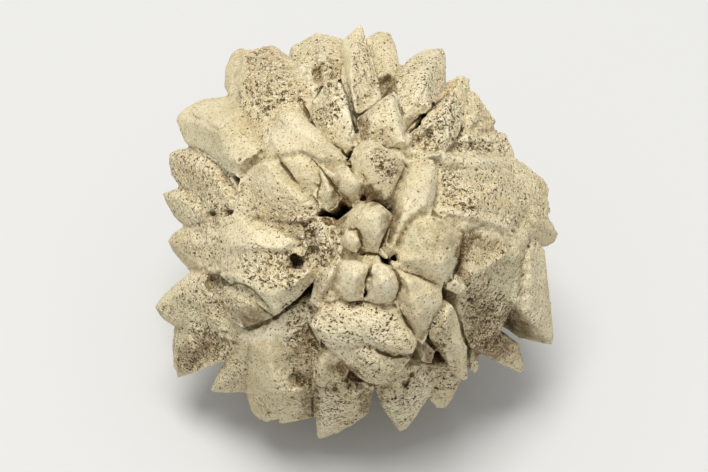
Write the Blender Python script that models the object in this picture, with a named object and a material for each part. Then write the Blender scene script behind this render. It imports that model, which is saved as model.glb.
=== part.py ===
"""Glendonite cluster: a fist-sized ball of blunt calcite blades grown together.

The crystals fan out from one heart. Those of the crown, the side that faces up and forward, are set
one by one by their corners. Those of the far side follow a rule. Three of them are worn flat at the
tip, and the cluster rests on those. All of them are joined in one closed solid.

Millimetres in the tables, metres in the model, +Z up, origin on the resting surface under the middle.
"""

import math
import random
from typing import NamedTuple

import bmesh
import bpy
from mathutils import Matrix, Vector
from mathutils.bvhtree import BVHTree

NODE = "glendonite_cluster"
MM = 0.001

# Driving dimensions, in millimetres
HEART_HEIGHT = 37.0        # the heart, where the crystals start, above the resting surface
CORE_RADIUS = 27.0         # solid middle of the ball
SIGHT_DISTANCE = 393.0     # crown corners are sighted from here, along the crown's axis
CROWN_TILT = math.radians(50.0)   # the crown's axis above the horizontal, towards -Y
ROOT_REACH = 6.0           # how far from the heart a crystal's root stands
KEEL_AT = 0.66             # a keel lies this share of the way out to the crystal's first corner
MERGE = 2e-6               # corners closer than this are one, in metres

# The crown's own axes: across to +X, up the crown, and out towards the one who looks at it
ACROSS = Vector((1, 0, 0))
UP = Vector((0, math.sin(CROWN_TILT), math.cos(CROWN_TILT)))
OUT = Vector((0, -math.cos(CROWN_TILT), math.sin(CROWN_TILT)))


class Crystal(NamedTuple):
    """A crystal of the crown: its corners as (across, up, out) and its thickness to the far side."""

    name: str
    corners: tuple
    keel: float = 0.0


NORTH = (
    Crystal("spike", (
        (1.2, 41.7, 8), (-0.6, 37.4, 13.5), (-1, 30.4, 24.5), (0.4, 23.6, 30), (-2.6, 38.4, 10),
        (-2.8, 30.4, 22.5), (3.3, 35, 12.5), (4.4, 31.4, 19), (5.4, 26.8, 24.5), (3, 24.4, 28)), 11),
    Crystal("rough back block", (
        (-13.4, 35, 4), (-12.8, 37.2, 4), (-11, 37.9, 4), (-7.4, 40, 4), (-2, 38.6, 6),
        (-12, 33.4, 14), (-7, 35, 17.5), (-2, 34.4, 16.5), (-5, 26.6, 21.5)), 14),
    Crystal("back ledge", (
        (-11.4, 33.6, 17), (-6.2, 35.2, 19), (-4.6, 33.6, 20.5), (-9, 31.6, 21), (-4.6, 28.4, 24)),
        0),
    Crystal("pitted wedge", (
        (-5.4, 30.5, 29.6), (-2.6, 29.8, 30), (-8.4, 26.4, 28), (-9, 23.4, 29), (-8, 21, 30.5),
        (-1.6, 26.4, 31.5), (-0.6, 21.4, 34.5), (0.4, 18.2, 35.5), (-2, 16, 36), (-6, 18.8, 34),
        (-5, 25, 32.5))),
    Crystal("round back knob", (
        (2.2, 38.8, 6), (4.2, 40.1, 4), (5.6, 40.3, 4), (7.2, 39.7, 4), (8, 38, 6),
        (8.3, 36, 10), (9.2, 33, 14), (7.8, 31, 16.5), (4, 29, 20)), 11),
    Crystal("bright blade", (
        (0.3, 22.8, 33), (8, 28.5, 30.4), (9, 26, 30), (9.2, 22.4, 32), (10.7, 19.6, 33),
        (11.4, 16.4, 34.5), (10.6, 13.4, 35), (3, 18, 35), (0.4, 18, 34), (4, 22, 34.6))),
    Crystal("blunt tower", (
        (9.8, 33.4, 12), (11.4, 35.2, 8), (14, 36.6, 6), (17.6, 36.9, 4), (18.3, 35.4, 5),
        (18.3, 30, 13.5), (13.6, 31.4, 21), (8, 31.6, 18), (8.4, 27, 25), (9, 22, 29),
        (10.4, 19.2, 30), (15, 25.4, 26.5)), 14),
    Crystal("narrow blade", (
        (18.6, 30.2, 10.5), (20.4, 31, 10), (21.6, 31.5, 9), (22.9, 30.5, 9), (22.8, 28.2, 11.5),
        (20, 26.8, 20), (17, 25.4, 23), (16, 25.4, 23)), 8),
    Crystal("pitted shoulder", (
        (10.4, 19, 33), (14, 22.9, 31), (17, 25.5, 27), (20, 27.4, 24.5), (21.6, 22.4, 25),
        (21.2, 20.2, 27), (18.4, 16.2, 31.5), (16.4, 15, 33.5), (15.4, 19.4, 33.6),
        (11.6, 15.4, 34.5))),
)

WEST = (
    Crystal("big west blade", (
        (-16.4, 37.5, 6), (-13.4, 35.2, 9), (-19, 36.8, 7), (-22.6, 36.2, 8), (-10.5, 32, 18.5),
        (-7, 29.4, 22.5), (-8.4, 25.4, 26), (-9.2, 22.6, 28), (-23.4, 29, 14.5), (-22.6, 24, 19.5),
        (-18, 16.6, 27.5), (-15, 19, 28.5), (-15.6, 31.4, 20.5), (-14, 24, 27)), 11),
    Crystal("smooth west flank", (
        (-22.8, 36.9, 3), (-24.6, 36, 3), (-26, 33, 3), (-26.2, 29, 6), (-25.2, 27.2, 11.5),
        (-20.6, 36.3, 6), (-22, 30, 14), (-23, 25, 17.5)), 13),
    Crystal("long west wedge", (
        (-35.9, 22.4, 4), (-35.4, 23.4, 4), (-34, 24.8, 4), (-32, 26, 5), (-29.6, 26.8, 6),
        (-26.2, 27, 9), (-24.4, 27.4, 11), (-22.6, 25, 18.5), (-17.4, 17.2, 28), (-18.4, 14.2, 29.5),
        (-21, 12, 29), (-23, 10.6, 28), (-25.4, 13.2, 25), (-34.2, 18, 8), (-31, 16.4, 14.5),
        (-27.6, 21, 21.5)), 14),
    Crystal("crumbled west tip", (
        (-37.4, 15, 3), (-37, 15.9, 3), (-35.8, 16.5, 4), (-33.6, 17, 8), (-37.2, 13, 3),
        (-36.8, 11.4, 4), (-34.8, 8.6, 6), (-27.4, 15, 18.5), (-24, 10, 23.5), (-22.8, 6.6, 25.5),
        (-27.6, 3.5, 21.5), (-31.6, 12.6, 15)), 13),
    Crystal("west tooth", (
        (-38.6, 7.7, 2), (-35, 9, 5), (-37.4, 5.2, 2), (-36.2, 3, 3), (-34, 0.8, 7),
        (-29, 6, 19.5), (-26, 3.4, 22), (-29, -1, 18.5)), 11),
    Crystal("low west tooth", (
        (-37.6, -1.8, 2), (-36, 0.2, 4), (-33.8, 1.2, 8), (-36, -4.4, 2), (-34.2, -6.2, 4),
        (-32.8, -8.2, 6), (-28, 0, 20), (-26, -5, 22), (-28, -9, 18.5)), 11),
    Crystal("far west point", (
        (-40.3, -15, 2), (-39, -13.4, 3), (-36, -10.4, 5), (-32.8, -7.8, 8), (-39.4, -16.5, 1),
        (-38, -17.8, 1), (-35.8, -19.2, 2), (-28.6, -9.4, 18), (-23, -12.6, 23),
        (-22, -21.6, 20.5), (-31, -19.8, 11.5), (-23.6, -22, 19)), 13),
    Crystal("south west wing", (
        (-35.5, -29.3, -4), (-36.3, -27, -4), (-36.7, -22.6, -2), (-36.2, -18.6, 1),
        (-31, -27.8, 3), (-28, -26.6, 7), (-25, -25.4, 11.5), (-30, -19.6, 13),
        (-22.4, -21.8, 18.5), (-23, -23, 17)), 11),
    Crystal("south west tip", (
        (-29.1, -32, -2), (-28, -29.4, 1), (-25.6, -25.4, 9), (-25, -32.3, 0), (-21, -32, 6),
        (-23.4, -22.6, 16.5), (-20, -22, 20), (-16.6, -27, 20), (-22.4, -27.4, 14)), 11),
    Crystal("blunt south west end", (
        (-21.6, -31, 4), (-21.4, -33.6, 2), (-20.7, -36, 1), (-19.6, -37.3, 1),
        (-17.8, -38.1, 2), (-15.4, -37.2, 6), (-23.6, -21, 21.5), (-20.4, -18, 25), (-15, -16.6, 29),
        (-7, -12, 31.5), (-6.6, -18, 30.5), (-7, -24, 27), (-7.6, -31, 20), (-11.8, -36.4, 9),
        (-17, -24.6, 24.5), (-15.6, -32, 18)), 14),
    Crystal("low ledge", (
        (-15.5, -38.5, -2), (-12, -37.9, 0), (-8, -37, 6), (-15, -33.6, 9), (-7.6, -29.6, 19.5),
        (-11, -33, 15)), 11),
)

MIDDLE = (
    Crystal("white lump", (
        (-28, 2.4, 24), (-24.6, 3.6, 28), (-18, 3, 33), (-11, 1.6, 36), (-9, -2, 37),
        (-10.4, -5, 37.5), (-15, -3.6, 36.5), (-20, -3.4, 34), (-24, -3.4, 30.5),
        (-28, -5, 24), (-22, 1, 32))),
    Crystal("hollow under the lump", (
        (-27.6, -4.4, 24.5), (-24, -4, 29.6), (-15, -4, 35), (-9, -4, 35.6), (-8, -9, 34.6),
        (-16, -14, 30), (-25, -9, 27))),
    Crystal("lower lip", (
        (-27.6, -8.4, 25), (-23, -8.6, 31), (-18, -9.2, 34.5), (-9.6, -7.6, 38),
        (-7.5, -8.8, 37), (-11, -12.8, 36.5), (-16, -17.2, 34), (-18.4, -15.2, 32.6),
        (-23, -10.8, 28), (-15, -11, 36))),
    Crystal("grey pebble", (
        (-26.4, -10.8, 25), (-23, -10.6, 28.5), (-18.6, -15, 30.5), (-16.2, -17.1, 30.5),
        (-19.4, -18.4, 28.5), (-22.4, -19.4, 26), (-25.6, -17.2, 24), (-26.6, -14, 24),
        (-22.4, -16, 29.6))),
    Crystal("left slab", (
        (-23.2, 10.4, 29), (-19, 14.2, 31.5), (-17, 15.6, 32), (-15.2, 14.8, 32.8),
        (-10.4, 8.4, 36.5), (-6.8, 4.4, 37.5), (-9, 2.4, 37), (-13, 1.8, 36.6), (-18, 2.6, 33.5),
        (-24.4, 4, 28), (-17.6, 10, 34))),
    Crystal("middle slab", (
        (-14.8, 15.4, 33.4), (-12, 17, 34), (-9.8, 16, 35.5), (-7.4, 12, 37.2),
        (-7.2, 8, 38), (-6.8, 4.6, 38), (-10.2, 8.4, 37), (-13, 11.4, 35.4))),
    Crystal("slab tip", (
        (-9.4, 15.4, 35.2), (-7.2, 12.4, 37), (-6, 12.2, 37.6), (-4.4, 9.8, 38.2),
        (-3, 7, 38.8), (-3.4, 5, 38.6), (-5, 3.8, 38.2), (-6.8, 4.8, 37.6), (-7.6, 8, 37.4),
        (-5.2, 8.6, 39))),
    Crystal("long slab", (
        (-15, 23.8, 29.8), (-11, 23.4, 31.4), (-9, 22, 33), (-5, 18.4, 36), (-1.4, 14.6, 38),
        (-2, 13, 38.2), (-5.6, 12.6, 38), (-9.6, 15.6, 36.2), (-14.6, 15, 33.4),
        (-18.2, 14.8, 31), (-18.2, 18.6, 29), (-8, 18.6, 36.2))),
    Crystal("slanted rhomb", (
        (-5.6, 12.2, 38.4), (-2, 13.6, 39.2), (0.4, 12, 39.4), (1.9, 10, 39.5), (1.3, 7.2, 39.5),
        (-1, 5.3, 39), (-2.8, 6.4, 39), (-4.4, 9.6, 38.8), (-0.4, 9.6, 40.6))),
    Crystal("pitted rhomb", (
        (-1.3, 13.8, 37), (-0.7, 16, 36.5), (1, 18.2, 36), (3.4, 18.6, 37.4), (8, 16, 38.2),
        (10.4, 13.2, 37.4), (9, 10.8, 38), (7, 7, 39), (5.6, 6.1, 39), (2.2, 6.8, 39),
        (0, 11.4, 38.5), (2.6, 15.6, 39.8), (6.4, 12.4, 40))),
    Crystal("heart blade", (
        (-3.9, 2, 38.5), (-2, 3.4, 39), (1, 6, 39), (2.5, 6.4, 39.5), (5, 5.6, 41),
        (7.7, 3.4, 40), (7.5, 1.8, 40.2), (6.4, -2.4, 41), (4.6, -4.3, 41), (2.6, -4.7, 40),
        (-0.6, 0.6, 40), (3, 2.6, 41.8))),
    Crystal("heart knob", (
        (-2.9, -2.6, 39.4), (-2.6, -0.8, 40), (-1.8, 0.5, 40.4), (-0.6, 0.7, 40.8),
        (0.7, 0, 41.2), (1.4, -1.8, 41.2), (0.6, -4.4, 40.4), (-1, -4, 40))),
    Crystal("porous saddle", (
        (-10, 3, 36.2), (-4.4, 3, 37.5), (-2.6, -3, 38.2), (-3, -6.4, 37.8),
        (-8, -8.6, 36), (-10.6, -3, 36))),
    Crystal("long spine", (
        (-3, -4.8, 39), (-7.6, -7.6, 36.8), (-9.2, -14, 33.8), (-7.4, -15.4, 34.4),
        (-3.2, -12.4, 37), (-5, -9.4, 39))),
    Crystal("left knuckle", (
        (-3.2, -6, 38.5), (0, -5.8, 40), (2.8, -6.6, 40.2), (2.6, -10.2, 40.4),
        (1.5, -13.8, 38.4), (-1, -14.2, 38), (-3.7, -11.4, 37.8), (-0.2, -8.4, 41.2))),
    Crystal("white knuckle", (
        (3.1, -8, 40), (3.4, -6.8, 40), (4.8, -6.2, 40.2), (7.5, -7.5, 40.8), (9.3, -10.4, 39.7),
        (8.9, -13, 38.7), (7.6, -14.6, 37.7), (6, -15, 37.4), (2.2, -14, 37.6),
        (5.4, -9.6, 42))),
)

EAST = (
    Crystal("east spine", (
        (11, 13.8, 35), (13.4, 14.6, 34.8), (15.9, 14.4, 34.2), (16.6, 11.4, 35),
        (16.6, 8.4, 35.4), (15.2, 3, 36.8), (8.2, 2, 38.8), (6, -5.6, 39), (9, 9.4, 37.2),
        (12, 9, 39))),
    Crystal("small wedge", (
        (5.4, -2.4, 39.6), (8.2, -2.2, 39.6), (8.6, -4.2, 39.4), (6.4, -5.6, 39.6),
        (4.8, -4.4, 39.8), (7, -3, 41))),
    Crystal("diamond", (
        (12, 2.2, 38.6), (14.8, 3.2, 38.2), (17, 2.8, 37.4), (21.8, -0.6, 36), (20.6, -6, 36),
        (19, -9.2, 34.6), (17.4, -11.2, 35), (12, -8, 37.4), (8.4, -5.4, 38.6), (10, -1.4, 39.2),
        (17.6, -1, 39), (17.2, -6.4, 39))),
    Crystal("chip", (
        (18.4, -9, 35), (20.2, -8.2, 34), (23, -11.8, 32), (22.2, -13.2, 31.4),
        (18.2, -11.6, 33.6), (20.3, -10.2, 35))),
    Crystal("grainy ridge", (
        (22.4, 28.2, 10.5), (24.4, 27.8, 9), (26.2, 25, 9), (28, 22.4, 9), (28, 20, 10.5),
        (19.8, 28, 18.5), (21.6, 19.6, 24.5), (25, 19.4, 19.5), (24, 24, 17.5)), 11),
    Crystal("north east step", (
        (28.2, 20, 10.5), (30.2, 19.8, 8), (30.8, 18.2, 8), (31.4, 16.6, 9), (32.2, 14.8, 10),
        (21.4, 19.2, 25.5), (18.2, 16, 28.5), (16, 15, 29.5), (22, 12.6, 28), (29, 13.6, 18.5)), 11),
    Crystal("upper east rib", (
        (13.8, 15, 33.5), (17, 15.4, 32), (25, 14.4, 27.5), (32.2, 15, 11), (33.6, 12.6, 10),
        (36, 12, 8), (38.4, 9.9, 6), (38.9, 8.4, 6), (38.4, 6, 8), (31, 9.4, 22),
        (24, 9.4, 28.5), (16.6, 11.4, 32.5), (24, 13, 29.5)), 13),
    Crystal("great east face", (
        (16.4, 11.6, 32.5), (16.4, 8, 34), (14.8, 3.2, 35), (29, 9.8, 25), (38.4, 8, 7),
        (39.3, 4, 6), (36, 0.4, 11), (30, 0.6, 23.5), (21, 0, 31.5), (24, 5.4, 31.4),
        (33, 5, 20)), 11),
    Crystal("east point", (
        (40.7, -0.3, 4), (40.1, -1.9, 3), (38.4, -3, 4), (38.8, 2.6, 8), (36, 7.4, 12),
        (33.4, 6.4, 17), (32, 1, 19), (33.6, -3, 16), (36.6, 1.4, 15)), 11),
    Crystal("great east blade", (
        (15.6, 5.6, 34.5), (20, 4, 33), (29, 1.2, 25.5), (34.6, -1.6, 16.5), (34, -3.4, 15.5),
        (33.4, -8.6, 15), (32, -13.8, 15), (29, -20.8, 13), (22.6, -21.8, 18.5),
        (21, -9, 32), (21, -5.4, 33), (20.4, -15.6, 27.5), (30, -4.6, 25), (23.6, -8.8, 32)), 13),
    Crystal("east valley side", (
        (16.6, 3.6, 35.6), (22, -1, 34), (28.6, 0, 27), (31, -3.4, 24), (22, -8.8, 32)), 0),
    Crystal("white east blade", (
        (35, -0.2, 14), (38, -3.6, 9), (38.2, -9.6, 7), (38.9, -14.6, 3), (39.9, -21.2, -3),
        (39.4, -22.7, -4), (33.2, -3.6, 17.5), (33.4, -8.6, 16.5), (31.8, -14.2, 18),
        (36, -18.8, 8), (32.6, -21.4, -4)), 10),
    Crystal("south east point", (
        (33.4, -28.4, -4), (33.9, -27.5, -4), (33, -22.4, 0), (29, -20.4, 11.5),
        (22.4, -21.6, 19.5), (22.6, -22.8, 18.5), (25, -24.3, 12.5), (29, -26.4, 4), (21, -15, 25.5),
        (29, -22.6, 10.5)), 11),
)

SOUTH = (
    Crystal("block", (
        (-5.2, -13.4, 36.4), (2, -14, 37.4), (8, -15.6, 37), (11.5, -19.6, 34.5),
        (12.7, -22.4, 33.6), (11.6, -24.7, 32), (6.4, -23.8, 32.5), (3, -22.8, 33.5),
        (-7, -15.2, 34.4), (-9.2, -18.6, 33.6), (-7, -21.8, 32.6), (2, -18.6, 36.6))),
    Crystal("under wedge", (
        (-7, -21.8, 31.2), (3, -23, 33), (11.4, -25.2, 28), (10, -27.2, 28.5), (8, -29.2, 28),
        (4.6, -30.9, 27.2), (3, -30.7, 27), (0.6, -29.2, 26.8), (-1, -26.6, 29),
        (4, -26, 31))),
    Crystal("paw", (
        (-6, -23.8, 29.5), (-4.4, -24, 29.5), (-8.3, -27.2, 26), (-8.5, -29.2, 24.5),
        (-7.8, -30.7, 23), (-6.4, -31.2, 23), (-2.6, -27, 27), (-3.6, -25, 29.4))),
    Crystal("south blade", (
        (-7.4, -41.6, -4), (-4, -40.5, -3), (-1, -39, 0), (2.8, -36.2, 5), (-8.1, -37, 4),
        (-8.4, -31, 16), (-3, -29, 21.5), (3.8, -31, 20), (-2, -34.4, 15.5)), 11),
    Crystal("south tooth", (
        (9, -40.1, -4), (10.7, -39.2, -3), (12.7, -36, 2), (14.9, -33, 8), (7.4, -38, -1),
        (5.2, -34.8, 6), (3.7, -31.4, 13.5), (5, -29.6, 19), (9, -27.6, 22.5), (16.8, -26.6, 19),
        (11, -31.6, 16.5)), 13),
    Crystal("south east tooth", (
        (18, -35.4, 0), (16.4, -35.3, 0), (14.8, -33.4, 6), (19.1, -34, 1), (20.2, -31.8, 3),
        (21, -30.4, 5), (21.2, -28.6, 9), (16.4, -26.4, 18), (20, -27, 15.5), (17.6, -31, 10)), 11),
    Crystal("front prow", (
        (7.4, -5.8, 39), (11, -7.8, 38), (17.3, -10.8, 35.5), (17.7, -14, 35.4),
        (17, -15.8, 33.5), (15, -18.8, 33), (13.6, -23, 31), (12.4, -21.4, 33.4),
        (9, -16.6, 36.5), (8, -13.6, 38), (8.8, -10.4, 39.4), (11.4, -9.8, 40.2),
        (13, -16.6, 37))),
    Crystal("right knuckle", (
        (14.4, -19.6, 32.6), (15.4, -17.2, 33.6), (17.8, -14.5, 34), (19.6, -14.7, 33),
        (20.5, -17, 31.6), (20.6, -19.4, 30), (22.4, -22.8, 25), (22.7, -29.2, 12),
        (22, -29.9, 11), (20.6, -29.2, 12), (19, -26, 20), (17, -24, 26), (15, -21.4, 30),
        (18.4, -18, 34), (20.4, -23.6, 26)), 0),
    Crystal("small fin", (
        (24.9, -25, 10), (24.7, -27.6, 5), (24, -28.5, 4), (22.8, -27.2, 8), (24.2, -21, 17.5)), 6),
    Crystal("recess splinter", (
        (14, -22.4, 28), (16.2, -24, 26), (15.4, -26.4, 23.5), (13.4, -26, 24))),
)

# Hollows, sunk into the crown along the line of sight: (across, up, breadth, depth)
PITS = (
    (0, 34.4, 1.2, 1.4), (-3.2, 26.4, 1.8, 1.6), (-4.4, 29.4, 1.2, 1.2), (-6.6, 24.4, 1.4, 1.4),
    (6.4, 30.4, 3.6, 2.4), (-7.8, 31.2, 2.6, 3), (11, 29.4, 1.3, 1.2), (10.6, 25.8, 1.5, 1.4),
    (13.4, 30.4, 1.1, 1), (14.4, 19.4, 2.4, 2.6), (11.8, 17.2, 1.7, 1.8), (18, 20.6, 1.8, 1.8),
    (15.6, 22.4, 1.2, 1.2), (5, 14.4, 2.2, 1.6), (7, 10.8, 1.3, 1.1), (22.2, 17.8, 1.5, 1.6),
    (25, 18, 1.3, 1.4), (28, 17.8, 1.3, 1.2), (18.8, 11, 2, 2), (20.2, 7.4, 1.8, 2),
    (21.8, 3.6, 1.7, 1.8), (24.8, -0.8, 1.6, 1.6), (28.4, -2.4, 1.7, 1.4), (25, -8.6, 1.1, 1),
    (23, -13.6, 1.5, 1.2), (24, -17.6, 1.4, 1.2), (23, -21, 1.6, 1.4), (-28.8, 3.2, 2.4, 2.6),
    (-31.6, 7, 1.5, 1.4), (-24.4, 5.4, 1.3, 1.2), (-9, -0.8, 2.2, 3.2), (-8.2, -3.8, 1.9, 2.8),
    (-11, 1.8, 1.6, 1.8), (-13, 3.4, 1.3, 1.2), (-11.8, -6, 3, 6), (-14.2, -6.4, 2.2, 3),
    (-28.6, -10.2, 3.4, 4.4), (-30.2, -13, 1.7, 1.8), (-29.4, -16.6, 1.5, 1.4),
    (-29, -21, 1.8, 1.8), (-27.4, -23.4, 1.3, 1.2), (-22.4, -17, 2, 1.8), (-21, -25.4, 1.5, 1.4),
    (-11.6, -29.2, 2.8, 4.4), (-13, -25.6, 1.7, 1.8), (-11, -21, 1.9, 1.8),
    (-9.2, -24, 1.5, 1.5), (-17.4, -36, 1.7, 1.8), (-4, -31.6, 1.6, 1.5), (-4.4, -34, 1.2, 1.2),
    (-4, -27.6, 2.6, 3), (10, -30.6, 2, 1.8), (9, -33, 1.5, 1.4), (11.6, -28.6, 1.4, 1.4),
    (17, -18.6, 1.3, 1.2), (16.4, -21, 1.2, 1.2), (27, -23.4, 1.4, 1.2), (-24.6, 30.6, 1.2, 0.8),
)


PIT_LENGTHENED = 1.35      # a hollow is longer one way than the other by this much


class Groove(NamedTuple):
    """A crack between crystals: its run as (across, up), its width at the top and its depth."""

    run: tuple
    width: float
    depth: float


GROOVES = (
    Groove(((-15.4, 14.6), (-14, 12.2), (-12.6, 10.4), (-10.2, 8.2)), 0.75, 3),
    Groove(((-7.3, 12.6), (-7, 10), (-7.7, 7.8), (-7, 4.6)), 0.65, 2.4),
    Groove(((-10, 16), (-8, 14.4), (-6, 12.2), (-4.2, 9.8), (-3, 7)), 0.75, 3),
    Groove(((-33.2, 23.6), (-30.4, 22.2), (-27, 20)), 0.7, 1),
    Groove(((-31.4, 16.6), (-27.8, 14.6)), 0.8, 1.4),
    Groove(((-26.4, 11.8), (-24, 7.6)), 0.7, 1.4),
    Groove(((17.4, 28.2), (15.2, 25.4), (12, 20.6)), 1.2, 2.6),
    Groove(((-11.4, 27), (-9.4, 22.8)), 1, 1.6),
)

# The far side, by rule
FAR_COUNT = 74              # directions spread evenly over the whole ball; the crown's are skipped
FAR_LENGTH = (35.0, 40.2)   # tips from the heart
FAR_BREADTH = (14.0, 20.0)
FAR_EDGE = -4.0             # a far crystal's tip lies at least this far behind the heart
FAR_REACH = 35.5            # and no further than this from the crown's axis
FAR_CLEARANCE = 2.0         # and this far above the resting surface
FAR_SEED = 11

# A far crystal's build, as shares of its length
SHOULDER_AT = (0.66, 0.78)  # the widest place
SHOULDER_STEP = 1.03        # one shoulder lies a little further out than the others
TIP_STEPS = (0.985, 0.96)   # the blunt tip falls away to one side and then to the back
# and as shares of its breadth
CHISEL_SHARE = (0.07, 0.16)
THICK_SHARE = (0.62, 0.85)
LEAN_SHARE = 0.15

# The three worn tips that the cluster rests on: place of each under the heart
FEET = ((-14.0, 8.0), (14.5, 6.5), (0.5, -15.0))
FOOT_HALF = 1.6            # half the breadth of a worn tip
FOOT_SHOULDER = 8.5        # half the breadth of the foot where it joins the ball
FOOT_RISE = 15.0           # height of those shoulders
FOOT_SPLAY = 0.75          # they stand nearer to the middle than the tip, by this share


def crown_point(corner):
    """A corner of the crown as millimetres from the heart."""
    across, up, out = corner
    sighted = (SIGHT_DISTANCE - out) / SIGHT_DISTANCE
    return ACROSS * (across * sighted) + UP * (up * sighted) + OUT * out


def line_of_sight(across, up):
    """The eye and the way it looks at a spot of the crown, in millimetres from the heart."""
    eye = OUT * SIGHT_DISTANCE
    return eye, (ACROSS * across + UP * up - eye).normalized()


def crown_corners(crystal):
    """All the corners of a crown crystal: those given, its keel and its root."""
    points = [crown_point(corner) for corner in crystal.corners]
    middle = sum(points, Vector()) / len(points)
    if crystal.keel:
        points.append(points[0] * KEEL_AT - OUT * crystal.keel)
    points.append(middle.normalized() * ROOT_REACH)
    return points


def far_directions():
    """Even directions over the ball, one golden angle after another."""
    golden = math.pi * (3 - math.sqrt(5))
    for step in range(FAR_COUNT):
        height = 1 - (2 * step + 1) / FAR_COUNT
        ring = math.sqrt(1 - height * height)
        yield Vector((math.cos(golden * step) * ring, math.sin(golden * step) * ring, height))


def far_corners(direction, rng):
    """The corners of a blunt far crystal: a rhomb at the shoulder and a chisel tip."""
    length = rng.uniform(*FAR_LENGTH)
    length = min(length, FAR_REACH / direction.cross(OUT).length)
    lowest = FAR_CLEARANCE - HEART_HEIGHT
    if direction.z * length < lowest:
        length = lowest / direction.z
    breadth = rng.uniform(*FAR_BREADTH)
    side = direction.cross(Vector((rng.uniform(-1, 1), rng.uniform(-1, 1), rng.uniform(-1, 1))))
    side.normalize()
    other = direction.cross(side)
    shoulder = direction * length * rng.uniform(*SHOULDER_AT)
    tip = direction * length
    chisel = breadth * rng.uniform(*CHISEL_SHARE)
    thick = breadth * rng.uniform(*THICK_SHARE)
    lean = side * breadth * rng.uniform(-LEAN_SHARE, LEAN_SHARE)
    return [
        direction * ROOT_REACH,
        shoulder + side * breadth * 0.5,
        shoulder - side * breadth * 0.5,
        shoulder + other * thick * 0.5,
        shoulder * SHOULDER_STEP - other * thick * 0.5,
        tip + side * chisel + lean,
        tip * TIP_STEPS[0] - side * chisel + lean,
        tip * TIP_STEPS[1] + other * chisel + lean,
    ]


def foot_corners(place):
    """A foot: a crystal that points down and ends in a small flat worn on the surface."""
    x, y = place
    floor = -HEART_HEIGHT
    outward = Vector((x, y, 0)).normalized()
    along = Vector((-outward.y, outward.x, 0))
    flat = Vector((x, y, floor))
    root = Vector((x * FOOT_SPLAY, y * FOOT_SPLAY, floor + FOOT_RISE))
    return [
        flat + outward * FOOT_HALF, flat - outward * FOOT_HALF,
        flat + along * FOOT_HALF, flat - along * FOOT_HALF,
        root + outward * FOOT_SHOULDER, root - outward * FOOT_SHOULDER,
        root + along * FOOT_SHOULDER, root - along * FOOT_SHOULDER,
        Vector(),
    ]


def new_collection(name):
    collection = bpy.data.collections.new(name)
    bpy.context.scene.collection.children.link(collection)
    return collection


def add_object(name, bm, collection):
    mesh = bpy.data.meshes.new(name)
    bm.to_mesh(mesh)
    bm.free()
    made = bpy.data.objects.new(name, mesh)
    collection.objects.link(made)
    return made


def add_hull(name, points, collection):
    """A crystal with flat faces: the hull of its corners, given in millimetres from the heart."""
    bm = bmesh.new()
    for point in points:
        bm.verts.new(point * MM)
    hull = bmesh.ops.convex_hull(bm, input=bm.verts)
    spare = set(hull["geom_interior"] + hull["geom_unused"])
    verts = [item for item in spare if isinstance(item, bmesh.types.BMVert)]
    bmesh.ops.delete(bm, geom=verts, context="VERTS")
    bmesh.ops.recalc_face_normals(bm, faces=bm.faces)
    return add_object(name, bm, collection)


def add_core(collection):
    bm = bmesh.new()
    bmesh.ops.create_icosphere(bm, subdivisions=2, radius=CORE_RADIUS * MM)
    return add_object("core", bm, collection)


def add_pit(pit, surface, collection):
    """A cutter for one hollow: a coarse ball drawn out along the line of sight."""
    across, up, breadth, depth = pit
    eye, sight = line_of_sight(across, up)
    hit = surface.ray_cast(eye * MM, sight)[0]
    bm = bmesh.new()
    bmesh.ops.create_icosphere(bm, subdivisions=1, radius=breadth * MM / 2)
    bmesh.ops.scale(bm, vec=(PIT_LENGTHENED, 1, 2 * depth / breadth), verts=bm.verts)
    turn = sight.to_track_quat("Z", "Y").to_matrix() @ Matrix.Rotation(across + up, 3, "Z")
    bmesh.ops.transform(bm, matrix=turn.to_4x4(), verts=bm.verts)
    bmesh.ops.translate(bm, vec=hit, verts=bm.verts)
    return add_object("pit", bm, collection)


def add_groove(groove, surface, collection):
    """Cutters for one crack: a wedge along each leg of its run, thin edge down."""
    legs = zip(groove.run, groove.run[1:])
    for start, end in legs:
        points = []
        for across, up in (start, end):
            eye, sight = line_of_sight(across, up)
            hit = surface.ray_cast(eye * MM, sight)[0] / MM
            run = ACROSS * (end[0] - start[0]) + UP * (end[1] - start[1])
            side = run.normalized().cross(sight) * groove.width / 2
            proud = hit - sight * groove.depth
            points += [proud + side * 2, proud - side * 2, hit + sight * groove.depth]
        add_hull("groove", points, collection)


def cut_away(base, cutters):
    """Take each cutter out of the base in turn."""
    for cutter in cutters:
        cut = base.modifiers.new("cut", "BOOLEAN")
        cut.operation = "DIFFERENCE"
        cut.solver = "EXACT"
        cut.object = cutter
    return evaluated_mesh(base)


def evaluated_mesh(made):
    graph = bpy.context.evaluated_depsgraph_get()
    return bpy.data.meshes.new_from_object(made.evaluated_get(graph))


def join_all(base, collection):
    """One solid from the base and every object of a collection."""
    union = base.modifiers.new("join", "BOOLEAN")
    union.operation = "UNION"
    union.solver = "EXACT"
    union.operand_type = "COLLECTION"
    union.collection = collection
    return evaluated_mesh(base)


def largest_shell(mesh):
    """Drop the small pockets that crystals close between them, and merge what meets."""
    bm = bmesh.new()
    bm.from_mesh(mesh)
    bmesh.ops.remove_doubles(bm, verts=bm.verts, dist=MERGE)
    bmesh.ops.dissolve_degenerate(bm, edges=bm.edges, dist=MERGE)
    unseen = set(bm.verts)
    shells = []
    while unseen:
        stack = [unseen.pop()]
        shell = set(stack)
        while stack:
            for edge in stack.pop().link_edges:
                for vert in edge.verts:
                    if vert in unseen:
                        unseen.remove(vert)
                        shell.add(vert)
                        stack.append(vert)
        shells.append(shell)
    shells.sort(key=len)
    spare = [vert for shell in shells[:-1] for vert in shell]
    bmesh.ops.delete(bm, geom=spare, context="VERTS")
    bmesh.ops.triangulate(bm, faces=bm.faces)
    return bm


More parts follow.
